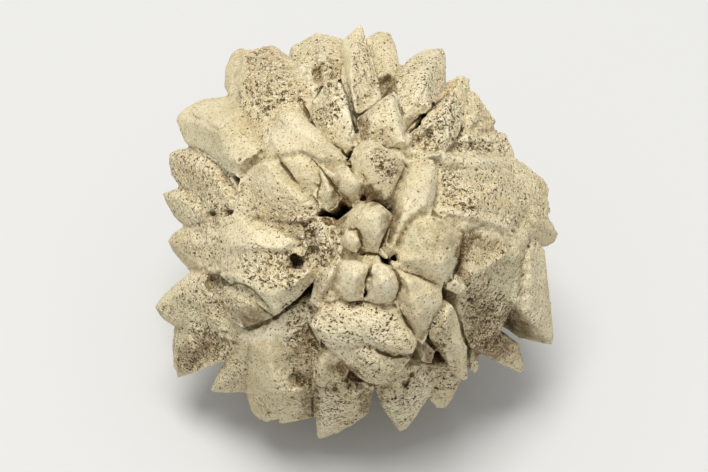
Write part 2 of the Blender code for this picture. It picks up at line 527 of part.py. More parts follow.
def stone_material():
    material = bpy.data.materials.new("weathered_calcite")
    material.use_nodes = True
    shader = material.node_tree.nodes["Principled BSDF"]
    shader.inputs["Base Color"].default_value = (0.62, 0.55, 0.42, 1)
    shader.inputs["Roughness"].default_value = 0.75
    shader.inputs["Metallic"].default_value = 0.0
    return material


def main():
    for old in list(bpy.data.objects):
        bpy.data.objects.remove(old)
    parts = new_collection("glendonite")
    raw = new_collection("raw_crystals")
    for crystal in NORTH + WEST + MIDDLE + EAST + SOUTH:
        add_hull(crystal.name, crown_corners(crystal), raw)
    rng = random.Random(FAR_SEED)
    for direction in far_directions():
        if direction.dot(OUT) * FAR_LENGTH[0] < FAR_EDGE:
            add_hull("far", far_corners(direction, rng), raw)
    for place in FEET:
        add_hull("foot", foot_corners(place), raw)
    core = add_core(parts)
    joined = add_object("joined", largest_shell(join_all(core, raw)), parts)
    for spare in [core, *raw.objects]:
        bpy.data.objects.remove(spare)
    surface = BVHTree.FromObject(joined, bpy.context.evaluated_depsgraph_get())
    for pit in PITS:
        add_pit(pit, surface, raw)
    for groove in GROOVES:
        add_groove(groove, surface, raw)
    bm = largest_shell(cut_away(joined, list(raw.objects)))
    for spare in [joined, *raw.objects]:
        bpy.data.objects.remove(spare)
    corners = [vert.co for vert in bm.verts]
    low = [min(co[axis] for co in corners) for axis in range(3)]
    high = [max(co[axis] for co in corners) for axis in range(3)]
    middle = Vector(((low[0] + high[0]) / 2, (low[1] + high[1]) / 2, low[2]))
    bmesh.ops.translate(bm, vec=-middle, verts=bm.verts)
    cluster = add_object(NODE, bm, parts)
    cluster.data.materials.append(stone_material())
    print("triangles", len(cluster.data.polygons), "heart at", [round(-c * 1000, 3) for c in middle],
          "size", [round((b - a) * 1000, 2) for a, b in zip(low, high)])


main()
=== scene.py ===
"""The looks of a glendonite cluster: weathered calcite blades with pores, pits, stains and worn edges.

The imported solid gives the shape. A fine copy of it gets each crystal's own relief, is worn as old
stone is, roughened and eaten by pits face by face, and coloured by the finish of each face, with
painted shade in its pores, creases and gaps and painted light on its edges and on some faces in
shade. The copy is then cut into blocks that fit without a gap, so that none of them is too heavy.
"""

import logging
import math
from dataclasses import dataclass
from enum import Enum
from functools import reduce

import bmesh
import bpy
import numpy as np
from mathutils import Matrix, Vector
from mathutils.bvhtree import BVHTree
from mathutils.geometry import delaunay_2d_cdt
from mathutils.kdtree import KDTree


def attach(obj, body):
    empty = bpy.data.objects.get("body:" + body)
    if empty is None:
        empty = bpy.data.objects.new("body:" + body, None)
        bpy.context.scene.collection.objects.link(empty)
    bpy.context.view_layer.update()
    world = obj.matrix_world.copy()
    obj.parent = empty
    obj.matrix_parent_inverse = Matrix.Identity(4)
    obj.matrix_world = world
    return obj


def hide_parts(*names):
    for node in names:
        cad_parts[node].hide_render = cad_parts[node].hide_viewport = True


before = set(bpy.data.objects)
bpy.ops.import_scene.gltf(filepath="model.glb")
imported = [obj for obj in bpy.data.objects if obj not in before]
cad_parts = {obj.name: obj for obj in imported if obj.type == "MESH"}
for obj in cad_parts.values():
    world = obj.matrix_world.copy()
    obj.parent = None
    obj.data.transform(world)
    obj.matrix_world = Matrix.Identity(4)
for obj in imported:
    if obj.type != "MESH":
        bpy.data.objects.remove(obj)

LOG = logging.getLogger("glendonite")
NODE = "glendonite_cluster"
SLOT = "weathered_calcite"
MM = 0.001

# A corner on the crown as (across, up) or (across, up, rise), in millimetres
Corner = tuple[float, ...]


def read_rows(table: str) -> list[list[str]]:
    """Reads a table.

    Args:
        table: its rows, with a bar between two cells; an indented line goes on with the row before.

    Returns:
        The cells of each row.
    """
    lines = table.strip().replace("\n    ", " ").splitlines()
    return [[cell.strip() for cell in line.split("|")] for line in lines]


def read_corners(cell: str) -> tuple[Corner, ...]:
    """Reads a cell of corners, such as "-2.6,8 4,9.2": (across, up) or (across, up, rise)."""
    return tuple(tuple(map(float, corner.split(","))) for corner in cell.split())


@dataclass(frozen=True)
class Places:
    """Where many points appear on the crown, in millimetres.

    Args:
        across: their places across the crown.
        up: their places up the crown.
        out: their distances out of the heart.
    """

    across: np.ndarray
    up: np.ndarray
    out: np.ndarray

    def __getitem__(self, chosen: np.ndarray) -> "Places":
        """Some of the points."""
        return Places(self.across[chosen], self.up[chosen], self.out[chosen])

    def strayed(self, far: float, waves: tuple[float, float, float, float]) -> "Places":
        """The points shifted to and fro, which makes a straight line ragged.

        Args:
            far: how far they shift at most, in millimetres.
            waves: how fast the shift changes, in radians a millimetre: the shift across, its own
                sway, the shift up, and its own sway.

        Returns:
            The shifted points.
        """
        wave, sway, up_wave, up_sway = waves
        bend, up_bend = 2.3, 2.7  # how far the sways bend the waves, in radians
        across = far * np.sin(wave * self.across + bend * np.sin(sway * self.up) + self.out)
        up = far * np.sin(up_wave * self.up + up_bend * np.sin(up_sway * self.across) - self.out)
        return Places(self.across + across, self.up + up, self.out)

    def boxed(self, corners: np.ndarray, margin: float = 0.0, among: np.ndarray | bool = True,
              ) -> np.ndarray:
        """Which points lie in the upright box around some corners.

        Args:
            corners: the corners, a row (across, up) each.
            margin: how much wider the box is on each side, in millimetres.
            among: which of the points count.

        Returns:
            The numbers of those points.
        """
        low, high = corners.min(0) - margin, corners.max(0) + margin
        return np.flatnonzero(among & (self.across >= low[0]) & (self.across <= high[0])
                              & (self.up >= low[1]) & (self.up <= high[1]))

    def off_leg(self, start: Corner, end: Corner) -> tuple[np.ndarray, np.ndarray, np.ndarray]:
        """How far the points lie off a straight leg.

        Args:
            start: one end of the leg.
            end: its other end.

        Returns:
            The distance of each point to the leg, whether a line from the point straight to the
            right crosses the leg, and how far along the leg the point lies, from 0 to 1.
        """
        ex, ey = end[0] - start[0], end[1] - start[1]
        wx, wy = self.across - start[0], self.up - start[1]
        along = np.clip((wx * ex + wy * ey) / (ex * ex + ey * ey), 0, 1)
        crossed = np.zeros(len(self.up), bool)
        if ey:
            crossed = ((self.up > start[1]) != (self.up > end[1])) & (wx < ex * wy / ey)
        return np.hypot(wx - ex * along, wy - ey * along), crossed, along

    def inside(self, outline: tuple[Corner, ...]) -> np.ndarray:
        """How far the points lie inside an outline.

        Args:
            outline: the corners.

        Returns:
            The distance to the outline, negative outside it, in millimetres.
        """
        nearest = np.full(len(self.up), np.inf)
        within = np.zeros(len(self.up), bool)
        for start, end in zip(outline, outline[1:] + outline[:1]):
            away, crossed, _ = self.off_leg(start, end)
            nearest = np.minimum(nearest, away)
            within ^= crossed
        return np.where(within, nearest, -nearest)


class Wear(Enum):
    """What the weather did to a patch of a crystal face, and where light or shade is painted on it.
    The value names the mark it leaves.
    """

    POROUS = "porous"      # eaten by pores
    SMOOTH = "smooth"      # still close-grained
    GRANULAR = "granular"  # crumbled to coarse grains
    LIME = "lime"          # bleached white, and painted light on some faces that lie in shade
    OCHRE = "ochre"        # stained yellow-brown
    MOSS = "moss"          # grey-green
    EARTH = "earth"        # dark soil in a hollow, and painted shade on faces turned from the light, under overhangs and in gaps


@dataclass(frozen=True)
class Patch:
    """A patch of the crown with one kind of wear.

    Args:
        face: the crystal face that it lies on.
        wear: what the weather did there; the bleached and dark soil kinds also paint light or shade
            there.
        amount: how strong it is, from 0 to 1.
        outline: its corners as (across, up) in millimetres from the heart.
    """

    face: str
    wear: Wear
    amount: float
    outline: tuple[Corner, ...]


# The dark soil patches are partly soil in pits and hollows and partly painted shade: on faces turned
# from the light, under overhangs and in gaps between crystals. Some bleached patches are painted light
# on faces that lie in shade.
# Face | wear | amount | outline. A later patch lies over an earlier one.
PATCHES = [Patch(face, Wear(wear), float(amount), read_corners(outline))
           for face, wear, amount, outline in read_rows("""
back block | porous | 0.75 | -13.8,34 -11.8,37.2 -8.6,39.2 -3.8,38.4 -2,34.4 -2.6,28.8 -8.6,26.4
    -12.6,30.4
back block | ochre | 0.45 | -11,37.6 -3.8,38 -2.6,34 -5,28.4 -8.6,33.2
back block ledge | lime | 0.8 | -12.6,32.4 -8.6,35.6 -5.4,36.4 -5,34 -8.6,32.8 -9.8,29.6
back block recess | earth | 0.5 | -8.8,32 -7.4,32.8 -6,31.2 -6.8,29.2 -8,30.4
round back knob | porous | 0.35 | 2.6,39.6 5.8,40.4 8.2,37.6 9.4,32 5.8,30.4 3.4,36.4
recess by the knob | earth | 0.4 | 5.2,30.4 8.6,32 8.6,29.6 6.2,26.8 5,28
north east point | porous | 0.7 | 9.8,34 13.8,36.8 17.8,37.2 18.6,34.4 18.4,29.6 15.4,26.4 13,24.8
    9.4,24.8 7,26.4 8.2,30.8
north east point | lime | 0.3 | 9,32.4 15,35.2 17,33.2 15,29.6 9.8,28.4
north east foot | smooth | 0.75 | 8.8,24.8 13,24.8 12.6,20 9.8,19.6
sandy slope | granular | 1.0 | 19,30.8 22.2,31.2 25,26.8 31.4,20.8 31,16.4 21.4,16.4 20.2,24.4
    17.8,27.2
sandy slope | ochre | 0.35 | 20.2,28.4 25,25.6 29,20 21.4,18.4
sandy slope crest | lime | 0.5 | 21.4,19.6 29,20.8 31.4,19.6 29.8,18.4 22.2,18.4
pit band | porous | 1.0 | 18.6,18.8 30,18.4 31.4,16.4 29,15.2 19.4,16
narrow rib | porous | 0.6 | 14.6,24.8 21.4,31.6 23,30.4 19,25.6 16.2,24
narrow rib | ochre | 0.6 | 13.8,24.4 18.6,29.6 21.4,31.2 19.4,26.4
split crystal | porous | 1.0 | 10.6,16 11,19.6 15.8,24 20.2,27.6 21.4,23.6 20.6,18.4 15.8,15.2
split crystal | ochre | 0.5 | 10.6,17.2 11.4,19.6 15,22.8 14.2,17.2
spike | porous | 0.85 | -0.6,37.6 1.4,41.6 3.4,36.4 5,28 3.4,24.8 0.6,24.4 -0.6,29.6
spike band | smooth | 0.8 | -3,37.6 -0.6,38.4 -0.2,28 -1.8,25.6 -2.6,30.4
spike foot | smooth | 0.6 | 0.2,25.6 4.2,26.8 4.6,23.2 1,21.2
pitted wedge | porous | 1.0 | -8.6,23.2 -5.4,29.6 -1.8,30.4 -1,26.4 -1.8,21.2 -4.2,19.2 -7.4,20
pitted wedge | lime | 0.45 | -4.2,30 -1.8,30 0.2,22.8 -0.2,16.4 -3,18.4 -1.8,24
pitted wedge foot | porous | 0.35 | -5,20.8 -0.6,24 0.4,20.4 -0.2,16 -4.2,18
bright blade | porous | 0.45 | 1,22.8 6.6,26.8 8.6,27.2 10.6,22 11.4,14 7.4,14 4.2,18.4 0.6,18.8
bright blade | lime | 0.5 | 5.8,26.4 8.6,27.2 11.4,21.6 11.8,13.6 9.4,14.4 7.4,21.6
bright blade strip | smooth | 0.8 | 7.6,21.6 10,22 11.8,16.4 11.4,13.2 9,14
bright blade flank | earth | 0.5 | 0.2,24 3,23.6 3,18.8 0.2,18.4
smooth west flank | smooth | 0.7 | -26.6,33.6 -24.6,36.8 -21.4,36.8 -21.8,32 -23,25.6 -25.4,25.2
    -26.6,28.4
great west blade | porous | 1.0 | -21.4,36 -17.4,37.4 -14.2,35.6 -11.8,32.4 -9.4,27.2 -11.4,25.2
    -13.8,25.6 -16.6,24.4 -18.6,21.6 -21.8,20.8 -23,24.8 -22.2,30.8
great west blade | ochre | 0.5 | -21.8,35.6 -17.4,37.2 -14.2,35.6 -8.6,28 -10.2,24.8 -17,24.8
    -21.8,26.4
great west blade edge | smooth | 0.5 | -16.6,37.6 -13.8,36.4 -7.4,28 -6.6,24.8 -8.6,24.8 -12.6,31.2
great west blade foot | porous | 0.5 | -23.8,24.4 -18.6,22 -21,17.6 -25.8,18.4
long west wedge | smooth | 0.55 | -36.2,21.6 -33.4,25.6 -25.8,27.2 -18.6,21.2 -17.8,16.4 -21,11.2
    -25.8,12.8 -30.2,16.4 -34.6,17.6
long west wedge | lime | 0.3 | -35,22.8 -29.8,26 -25,25.6 -26.2,21.2 -31.8,20.4
long west wedge | moss | 0.35 | -33.4,20 -25.8,21.2 -23,16.4 -25.4,13.2 -31,17.2
crumbled west tip | porous | 0.85 | -37.4,14.8 -34.2,16.8 -29.8,15.6 -24.6,11.2 -23,6.4 -25.4,3.6
    -30.2,5.2 -34.6,7.2 -37,11.2
crumbled west tip | ochre | 0.3 | -37.4,15.2 -33,16 -31,12 -35.8,10.8
west teeth | porous | 0.8 | -38.6,8.4 -34.2,7.6 -28.2,4.8 -26.6,2 -29.4,0 -35.4,3.6
low west teeth | porous | 0.7 | -37.8,0 -33,0.8 -26.2,-1.2 -25.8,-6 -31.8,-6 -35.8,-3.2
low west teeth | ochre | 0.4 | -37.8,-0.8 -33.8,0 -31.8,-2.8 -34.6,-4.8
south west spike | porous | 0.75 | -40.2,-16 -33.8,-10 -29.4,-8 -24.2,-9.6 -23,-13.6 -27,-18.8
    -33.4,-18.4
south west spike | moss | 0.5 | -37.8,-13.6 -31.8,-9.6 -26.6,-10 -25.8,-13.6 -33,-17.2
south west edge | lime | 0.5 | -39.8,-15.2 -31.8,-7.6 -27.8,-6 -27,-8 -33,-10.8
south west blade | porous | 0.95 | -36.6,-19.6 -33,-18 -25.8,-18.8 -23,-22.4 -26.2,-25.6 -31.8,-27.2
    -35.8,-28.8
lower south west | porous | 0.8 | -29,-31.2 -26.6,-25.6 -21.4,-23.6 -20.6,-28 -23,-32
south fan | smooth | 0.6 | -23.8,-18.8 -18.6,-12 -13.8,-10.8 -13,-15.6 -14.2,-24 -15.8,-31.6
    -19.8,-36.4 -21.4,-32 -20.6,-24
south fan pitted side | porous | 1.0 | -14.2,-14.8 -9.8,-12.8 -7.4,-17.2 -7,-24 -8.6,-31.2 -11.8,-32
    -13.8,-26
south fan pitted side | ochre | 0.5 | -13.8,-17.2 -10.2,-16 -8.6,-22.4 -10.2,-28.8 -13,-26.8
south fan tip | porous | 0.6 | -20.2,-33.6 -15,-30.4 -9,-32 -8.2,-36.4 -13,-38 -18.6,-36.8
south blades | porous | 0.9 | -8.6,-33.2 -4.6,-29.2 3.4,-30.4 4.2,-32.8 -1,-39.6 -7.4,-41.2
south blades | ochre | 0.3 | -7.8,-34 -3.8,-30.8 -0.6,-32.8 -3.8,-38.4
south east blades | porous | 0.9 | 3.4,-32 8.2,-27.6 17,-27.2 16.6,-30.8 9.8,-39.6 6.2,-36.4
corner blades | porous | 0.9 | 15,-28 22.6,-23.6 24.2,-26.8 21.4,-30.4 17,-34
south east spike | porous | 0.6 | 22.6,-22.8 29,-21.2 33.8,-22.8 33.4,-28 29,-26.8
south east spike | ochre | 0.4 | 23.8,-22.8 29,-21.6 33,-24 32.2,-27.2 27.8,-25.2
great east face | porous | 0.6 | 15.4,14.4 23,14.8 33,13.6 38.6,9.6 39.4,3.6 35,1.2 25,3.6 17,5.2
    15,9.2
great east face | ochre | 0.45 | 16.6,9.6 25,9.2 31,7.2 32.2,4 23,4.4 16.2,5.6
great east face crest | lime | 0.5 | 13,15.2 23,15.6 31.8,14 29,12 19,12.8
great east pits | porous | 1.0 | 17,13.2 20.6,12.4 24.2,7.2 25,3.6 21.4,3.2 17.8,6.4
east edge | granular | 0.6 | 31,15.2 38.6,9.6 39.4,2.4 36.6,3.6 35,8.4 31.4,12
east lip | lime | 0.55 | 15.8,5.2 23,3.6 33,2 35.4,-0.8 34.6,-3.6 28.2,-1.6 20.2,1.2 16.2,3.6
east lip | smooth | 0.5 | 15.8,5.2 23,3.2 33,1.2 35.4,-1.2 34.6,-4 28.2,-2 20.2,0.8 16.2,3.6
dotted corner | porous | 0.9 | 29,3.6 33,2.8 36.2,-2.8 35.4,-6 34.2,0 29.8,0.8
hollow east face | porous | 0.6 | 20.2,0 28.2,-2.4 34.6,-4.8 34.2,-13.6 30.6,-20.4 25,-24 21.4,-22.4
    21,-13.6
hollow east face | moss | 0.55 | 26.6,-6 34.2,-5.2 33.8,-13.6 30.6,-18.8 26.6,-14.8
hollow east face shade | earth | 0.55 | 20.6,0.8 25.8,0 24.2,-4.4 21.8,-8.8 20.6,-6
hollow east face low | porous | 1.0 | 21.4,-8.8 26.2,-7.6 28.6,-12.8 33,-13.6 30.6,-20.4 25.8,-24.4
    21.4,-22.4
hollow east face low | earth | 0.4 | 21.8,-12 26.2,-12 29,-17.6 26.6,-23.6 21.8,-22
east blade | lime | 0.6 | 34.6,0 37,-3.6 38.2,-13.6 40.2,-22.4 35,-20.8 31.8,-15.6 33.8,-8.8
east blade | porous | 0.55 | 34.2,-1.6 37,-4.8 38.2,-15.6 39.8,-22.4 34.6,-20.4 31.8,-15.6
east blade underside | earth | 0.4 | 29.8,-14 32.2,-14 34.6,-19.6 33,-22 30.2,-19.6 29,-16.4
east point | smooth | 0.4 | 33.8,5.6 37,3.6 41,-0.4 38.6,-3.6 35.8,-0.8
hook side | porous | 0.7 | -23,6.4 -15,6.4 -3.8,4.8 -4.6,1.2 -11,1.6 -23,2
lip crystal | lime | 0.6 | -25.8,0 -20.6,0.8 -12.6,-1.2 -11,-3.2 -15,-3.6 -23.4,-2.8
lip crystal | smooth | 0.6 | -26.6,0.8 -21,1.6 -14.2,0.4 -13,-2 -23,-2
lip crystal hollow | porous | 1.0 | -24.2,-3.6 -15,-4 -9.8,-3.6 -8.6,-6.8 -11.8,-11.6 -18.6,-11.2
    -23.4,-8
lip crystal hollow | ochre | 0.5 | -20.2,-3.6 -15,-4.4 -11,-7.2 -14.6,-10 -19.4,-8.8
lip crystal hole | earth | 0.45 | -14.2,-5.2 -11,-4.4 -9.8,-6 -11,-8 -13.8,-8.4
lip crystal edge | lime | 0.5 | -18.6,-12.8 -11,-11.6 -3.8,-6 -3,-7.6 -7.4,-13.6 -15.8,-17.2
green crystal | moss | 0.6 | -26.6,-11.6 -23,-10.4 -16.6,-12.8 -15.8,-17.2 -20.6,-18.8 -25,-15.6
green crystal shade | earth | 0.55 | -23.4,-16.4 -17.4,-17.2 -18.6,-19.6 -22.2,-19.6
saddle | porous | 1.0 | -10.6,1.6 -5.8,2 -2.2,-0.4 -2.6,-6 -5.8,-8 -9.4,-6 -11,-2.4
saddle | lime | 0.35 | -10.2,0.8 -5.8,1.2 -3,-1.6 -4.2,-5.2 -8.6,-4.8
great slab | smooth | 0.85 | -23,8.4 -19.4,14 -15.8,19.2 -11.8,23.6 -6.2,20 -1.4,15.2 1.4,10.4 1,6.4
    -5,4 -11,7.2 -17,5.2
great slab | lime | 0.45 | -18.6,18.8 -13,24 -7.8,20.8 -11,17.6 -16.6,15.6
great slab low | porous | 0.45 | -23,9.2 -18.6,12.4 -13,7.2 -17,4.8 -22.6,5.6
east plate | smooth | 0.85 | 6.2,-0.4 9,9.2 13.8,14 16.6,12.8 16.2,5.6 13,1.6 9.4,-3.6 7,-6
north knob | smooth | 0.75 | -1.4,14.4 1.4,18 5.8,18.4 10.6,14.8 9.4,10.8 6.6,7.2 2.2,8 -1,11.2
north knob pits | porous | 1.0 | 2.2,16 5.8,16.8 8.6,13.2 8.2,9.6 5,10.4 3,13.2
diamond | smooth | 0.8 | 7.4,-4 11.4,2.4 14.6,3.2 21.4,0 20.6,-6.4 17.8,-11.2 9,-6.8
diamond | moss | 0.65 | 11,1.6 16.2,2.8 20.2,-0.8 19.4,-4.8 13.8,-5.6 9.8,-3.2
south knob | smooth | 0.8 | 6.6,-7.2 13.8,-8 17.8,-12 16.2,-18.8 11.8,-24 7.8,-16.8
great south block | porous | 0.75 | -9,-19.6 -5.8,-14.8 1.4,-13.6 8.2,-16.8 12.6,-22.8 7.4,-24.8
    -0.6,-24 -7.4,-22.4
great south block | lime | 0.5 | -7.4,-18 -1.8,-14.4 6.2,-16.8 9.8,-20.8 3.4,-22.4 -5,-21.2
great south block rim | smooth | 0.6 | -8.6,-20 -1,-22.8 7.4,-24 12.6,-22.8 11.4,-25.6 5,-26
    -3,-23.6
second block | porous | 0.7 | -3,-24 3.4,-24 11.4,-26.8 9.8,-30.4 2.6,-30.4 -2.2,-27.6
split foot | porous | 0.9 | 14.6,-17.6 17.8,-14.8 19.4,-18 18.6,-24 15.8,-24
split foot | smooth | 0.5 | 18.6,-15.2 21.4,-17.2 22.6,-28 20.2,-29.2 19,-21.6
dark slot | earth | 0.35 | -5.4,-26 -1,-26.4 -0.6,-30 -5,-28.8
centre knob | smooth | 0.95 | -4,2.6 -1.8,4 2.4,6.4 7.4,3.6 6.8,0.2 4,-5 1.2,-4 -1,-5 -2.8,-2.8
centre knob | moss | 0.2 | -2,3.6 2.4,5.8 6.6,3.6 5.8,-0.4 2.2,-2.4 -0.6,1.2
right twin | smooth | 0.9 | 3.2,-7.2 5.6,-6.2 8.6,-8.8 9.4,-10.8 8.4,-14 4.6,-14.8 1.8,-14
right twin | lime | 0.9 | 3.2,-7.2 5.6,-6.2 8.6,-8.8 9.2,-11.2 7.8,-14 4.6,-14.4 2.2,-13.6
left twin | smooth | 0.85 | -4.2,-6 2.6,-5.6 3.2,-7.2 1.6,-14 -3,-14 -5,-11.2
left twin | lime | 0.7 | -3.4,-6 2.2,-5.6 3.2,-7.2 1.8,-13.6 -3,-13.6 -4.2,-10.4
fan under the lip | lime | 0.7 | -19.4,-18.8 -15.8,-17.6 -13,-15.6 -10.2,-13.6 -8.2,-14.8 -9.8,-18
    -14.2,-20.4 -18.6,-21.2
fan's shaded side | earth | 0.5 | -10.6,-28.4 -7.2,-28 -7.6,-37.6 -10.8,-37.6
west south blade's shaded side | earth | 0.5 | 0.2,-32.8 3.8,-31.2 5.4,-34.4 1.4,-36.8
hollow under the second block | earth | 1 | -3.2,-26.4 -0.8,-26.6 2,-29.6 -1,-30.6 -2.8,-29.6
south east spike | earth | 0.7 | 23.2,-22 29,-20.4 32.2,-22.4 29,-25.6 23.4,-25.2
east blade's underside | earth | 0.5 | 31,-14.8 35,-18.8 38.2,-22 33,-21.8 29.4,-20
shade by the diamond | earth | 0.95 | 20.6,-0.8 25,-0.8 25,-6.4 20.6,-8.8
pitted hollow | earth | 0.35 | -31.8,-9.4 -28.6,-8 -26.2,-8.8 -25.6,-11.2 -29.8,-12.4
green crystal | earth | 0.45 | -24.2,-13.6 -19,-14.4 -16.6,-16.8 -21,-17.6
stained pits | earth | 0.4 | -21,3.6 -14.2,4 -10.2,2.4 -10.2,-2 -13.4,-1.2 -17,1.6 -21,2
saddle's pits | earth | 0.4 | -10.2,0.8 -7.4,0.4 -7,-4.8 -9.4,-4
deep gap | earth | 1 | -7.4,3.8 -5.2,4.6 -3.4,7.6 -1,6.4 -1.8,3.6 -3.4,0.6 -5.4,1.2 -7,2.6
diamond's strip | lime | 0.8 | 19,0 21.6,-1.2 20.2,-7.6 18,-10.6 17.8,-6
pitted wedge's band | lime | 0.9 | -3,27.2 -0.6,26.4 0.6,20 -0.2,16 -2.6,20.8
south block's band | lime | 1 | -5.8,-20.8 3.8,-21.2 5.8,-24 -1,-26 -5,-24.4
south knob's side | lime | 0.6 | 14.2,-12.8 17.2,-13.2 16.4,-17.6 13.8,-21.2
west south blade | lime | 1 | -7.4,-31.2 -3,-31.6 -2.2,-37.6 -3.4,-39.6 -7.2,-41
middle south blade | lime | 0.7 | 13,-27.6 17,-27.8 13.8,-34.4 9.4,-39.8 5.8,-34.4 9.8,-31.6
north knob's underside | earth | 1 | 1.2,9.6 2.6,9.6 4.2,8.4 5.8,8.4 5.8,5.6 1.4,5.6
dark slot | earth | 1 | 13.2,-22.6 17,-22 18.4,-26.4 14.6,-27.6
pitted fan | earth | 0.45 | -12.2,-19.6 -9.8,-18.8 -7.8,-22.4 -9.4,-26.4 -11.8,-25.6
fan's pit | earth | 0.5 | -12.8,-28 -11.4,-27.6 -10.6,-29.2 -11,-31.2 -12.4,-30.8
south west spike | earth | 0.45 | -35.8,-23.6 -31.8,-20.4 -28.6,-18.8 -25.4,-21.6 -27.8,-25.2
    -31.8,-27.2 -35.8,-29.2
east plate's side | earth | 0.45 | 5.8,3.6 9,5.2 9.4,1.2 7.4,-2.8 5.4,-2.4
diamond's lower edge | lime | 1 | 8.6,-5.6 13.8,-6 18.6,-7.6 20.2,-6 19.4,-8.8 17.2,-11.4 12.6,-9.6
knob behind the diamond | lime | 1 | 17.2,-10.4 19.4,-8.8 21.4,-11.2 22.2,-13.6 18.2,-14
sloping crystal | lime | 0.8 | 17,24 20.2,26.8 23,24 21.4,20.4 17.8,20.4
point's band | lime | 0.9 | 13,29.6 16.2,30.4 16.6,26 13.8,23.6 11.8,24.8
lip crystal's west side | lime | 0.3 | -26.6,-2.4 -22.2,-3.6 -19.8,-6 -20.2,-10.4 -23.8,-9.6
    -27,-7.6
great west blade's foot | ochre | 0.5 | -26.2,23.2 -21,24.8 -17,23.2 -18.2,19.2 -24.2,19.2
top slab's east side | earth | 0.2 | -7,17.6 -4.2,17.2 -1,13.2 -1.8,10.8 -5,12.4
tooth block's shade | earth | 0.5 | -5.2,10.8 -3.2,10 -2.6,6.4 -4.2,5.6
east lip's foot | ochre | 0.4 | 13.8,2 18.2,2 21.8,-1.2 20.6,-6 16.2,-3.6
fan wedge | lime | 1 | -23.8,-17.6 -18.6,-19.2 -11.8,-14.8 -7.8,-14.4 -8.2,-19.6 -11,-24 -15.8,-21.6
    -22.2,-22.4
west tip's crest | lime | 0.9 | -33,20 -29.8,18.4 -23,12 -23.8,9.6 -28.6,14.4
north east slopes | lime | 0.4 | 17,26.4 23,24.8 28.6,20.4 27.8,16.4 19,19.6
east plate | lime | 0.5 | 10.6,8.4 16.2,9.2 15.8,4 12.6,3.2 9.8,5.2
lip crystal's lower edge | lime | 0.6 | -26.6,-8.4 -21.8,-10 -17.4,-12.8 -18.2,-14.8 -23.8,-11.6
great west blade | earth | 0.12 | -23,36.4 -14.2,35.6 -8.6,28 -10.2,25.6 -17,25.6 -23.8,27.2
bright blade's strip | earth | 0.3 | 9.4,22.8 11.8,22.8 12.2,19.6 10.2,19.2
north knob's pits | earth | 0.25 | 2.2,16.4 6.6,16.8 8.6,12 5,10.8
west spike | earth | 0.3 | -32.6,-14 -23.8,-13.2 -23,-17.2 -29.8,-18
hollow east face | earth | 0.25 | 23,-1.6 30,-2.4 30.6,-6 25,-10.4 21.4,-8.8
west teeth | earth | 0.3 | -31.8,4.4 -27.4,4 -26.6,1.2 -30.2,0
centre knob's east face | lime | 0.4 | 3.4,4 6.6,3.6 5.8,-1.6 3.4,-3.6
great west blade's foot | moss | 0.4 | -26.2,24 -18.6,24.8 -16.2,22 -18.6,19.2 -25,19.6
under the lip crystal | earth | 0.25 | -8.4,-8.8 -6.6,-8 -5.8,-12.8 -8.2,-13.6
diamond | earth | 0.22 | 12.2,0.8 17,2 20.2,-1.6 19,-6.4 13.8,-6
""")]


@dataclass(frozen=True)
class Crack:
    """A crack or a seam where two crystals meet. It is sunk, and darkened as painted shade in the
    seam.

    Args:
        where: the crystals that it parts.
        spread: how far it reaches to each side at its widest, in millimetres.
        strength: how deep it is, as a multiple of the weathering's crack depth.
        run: its way as (across, up) in millimetres from the heart.
    """

    where: str
    spread: float
    strength: float
    run: tuple[Corner, ...]


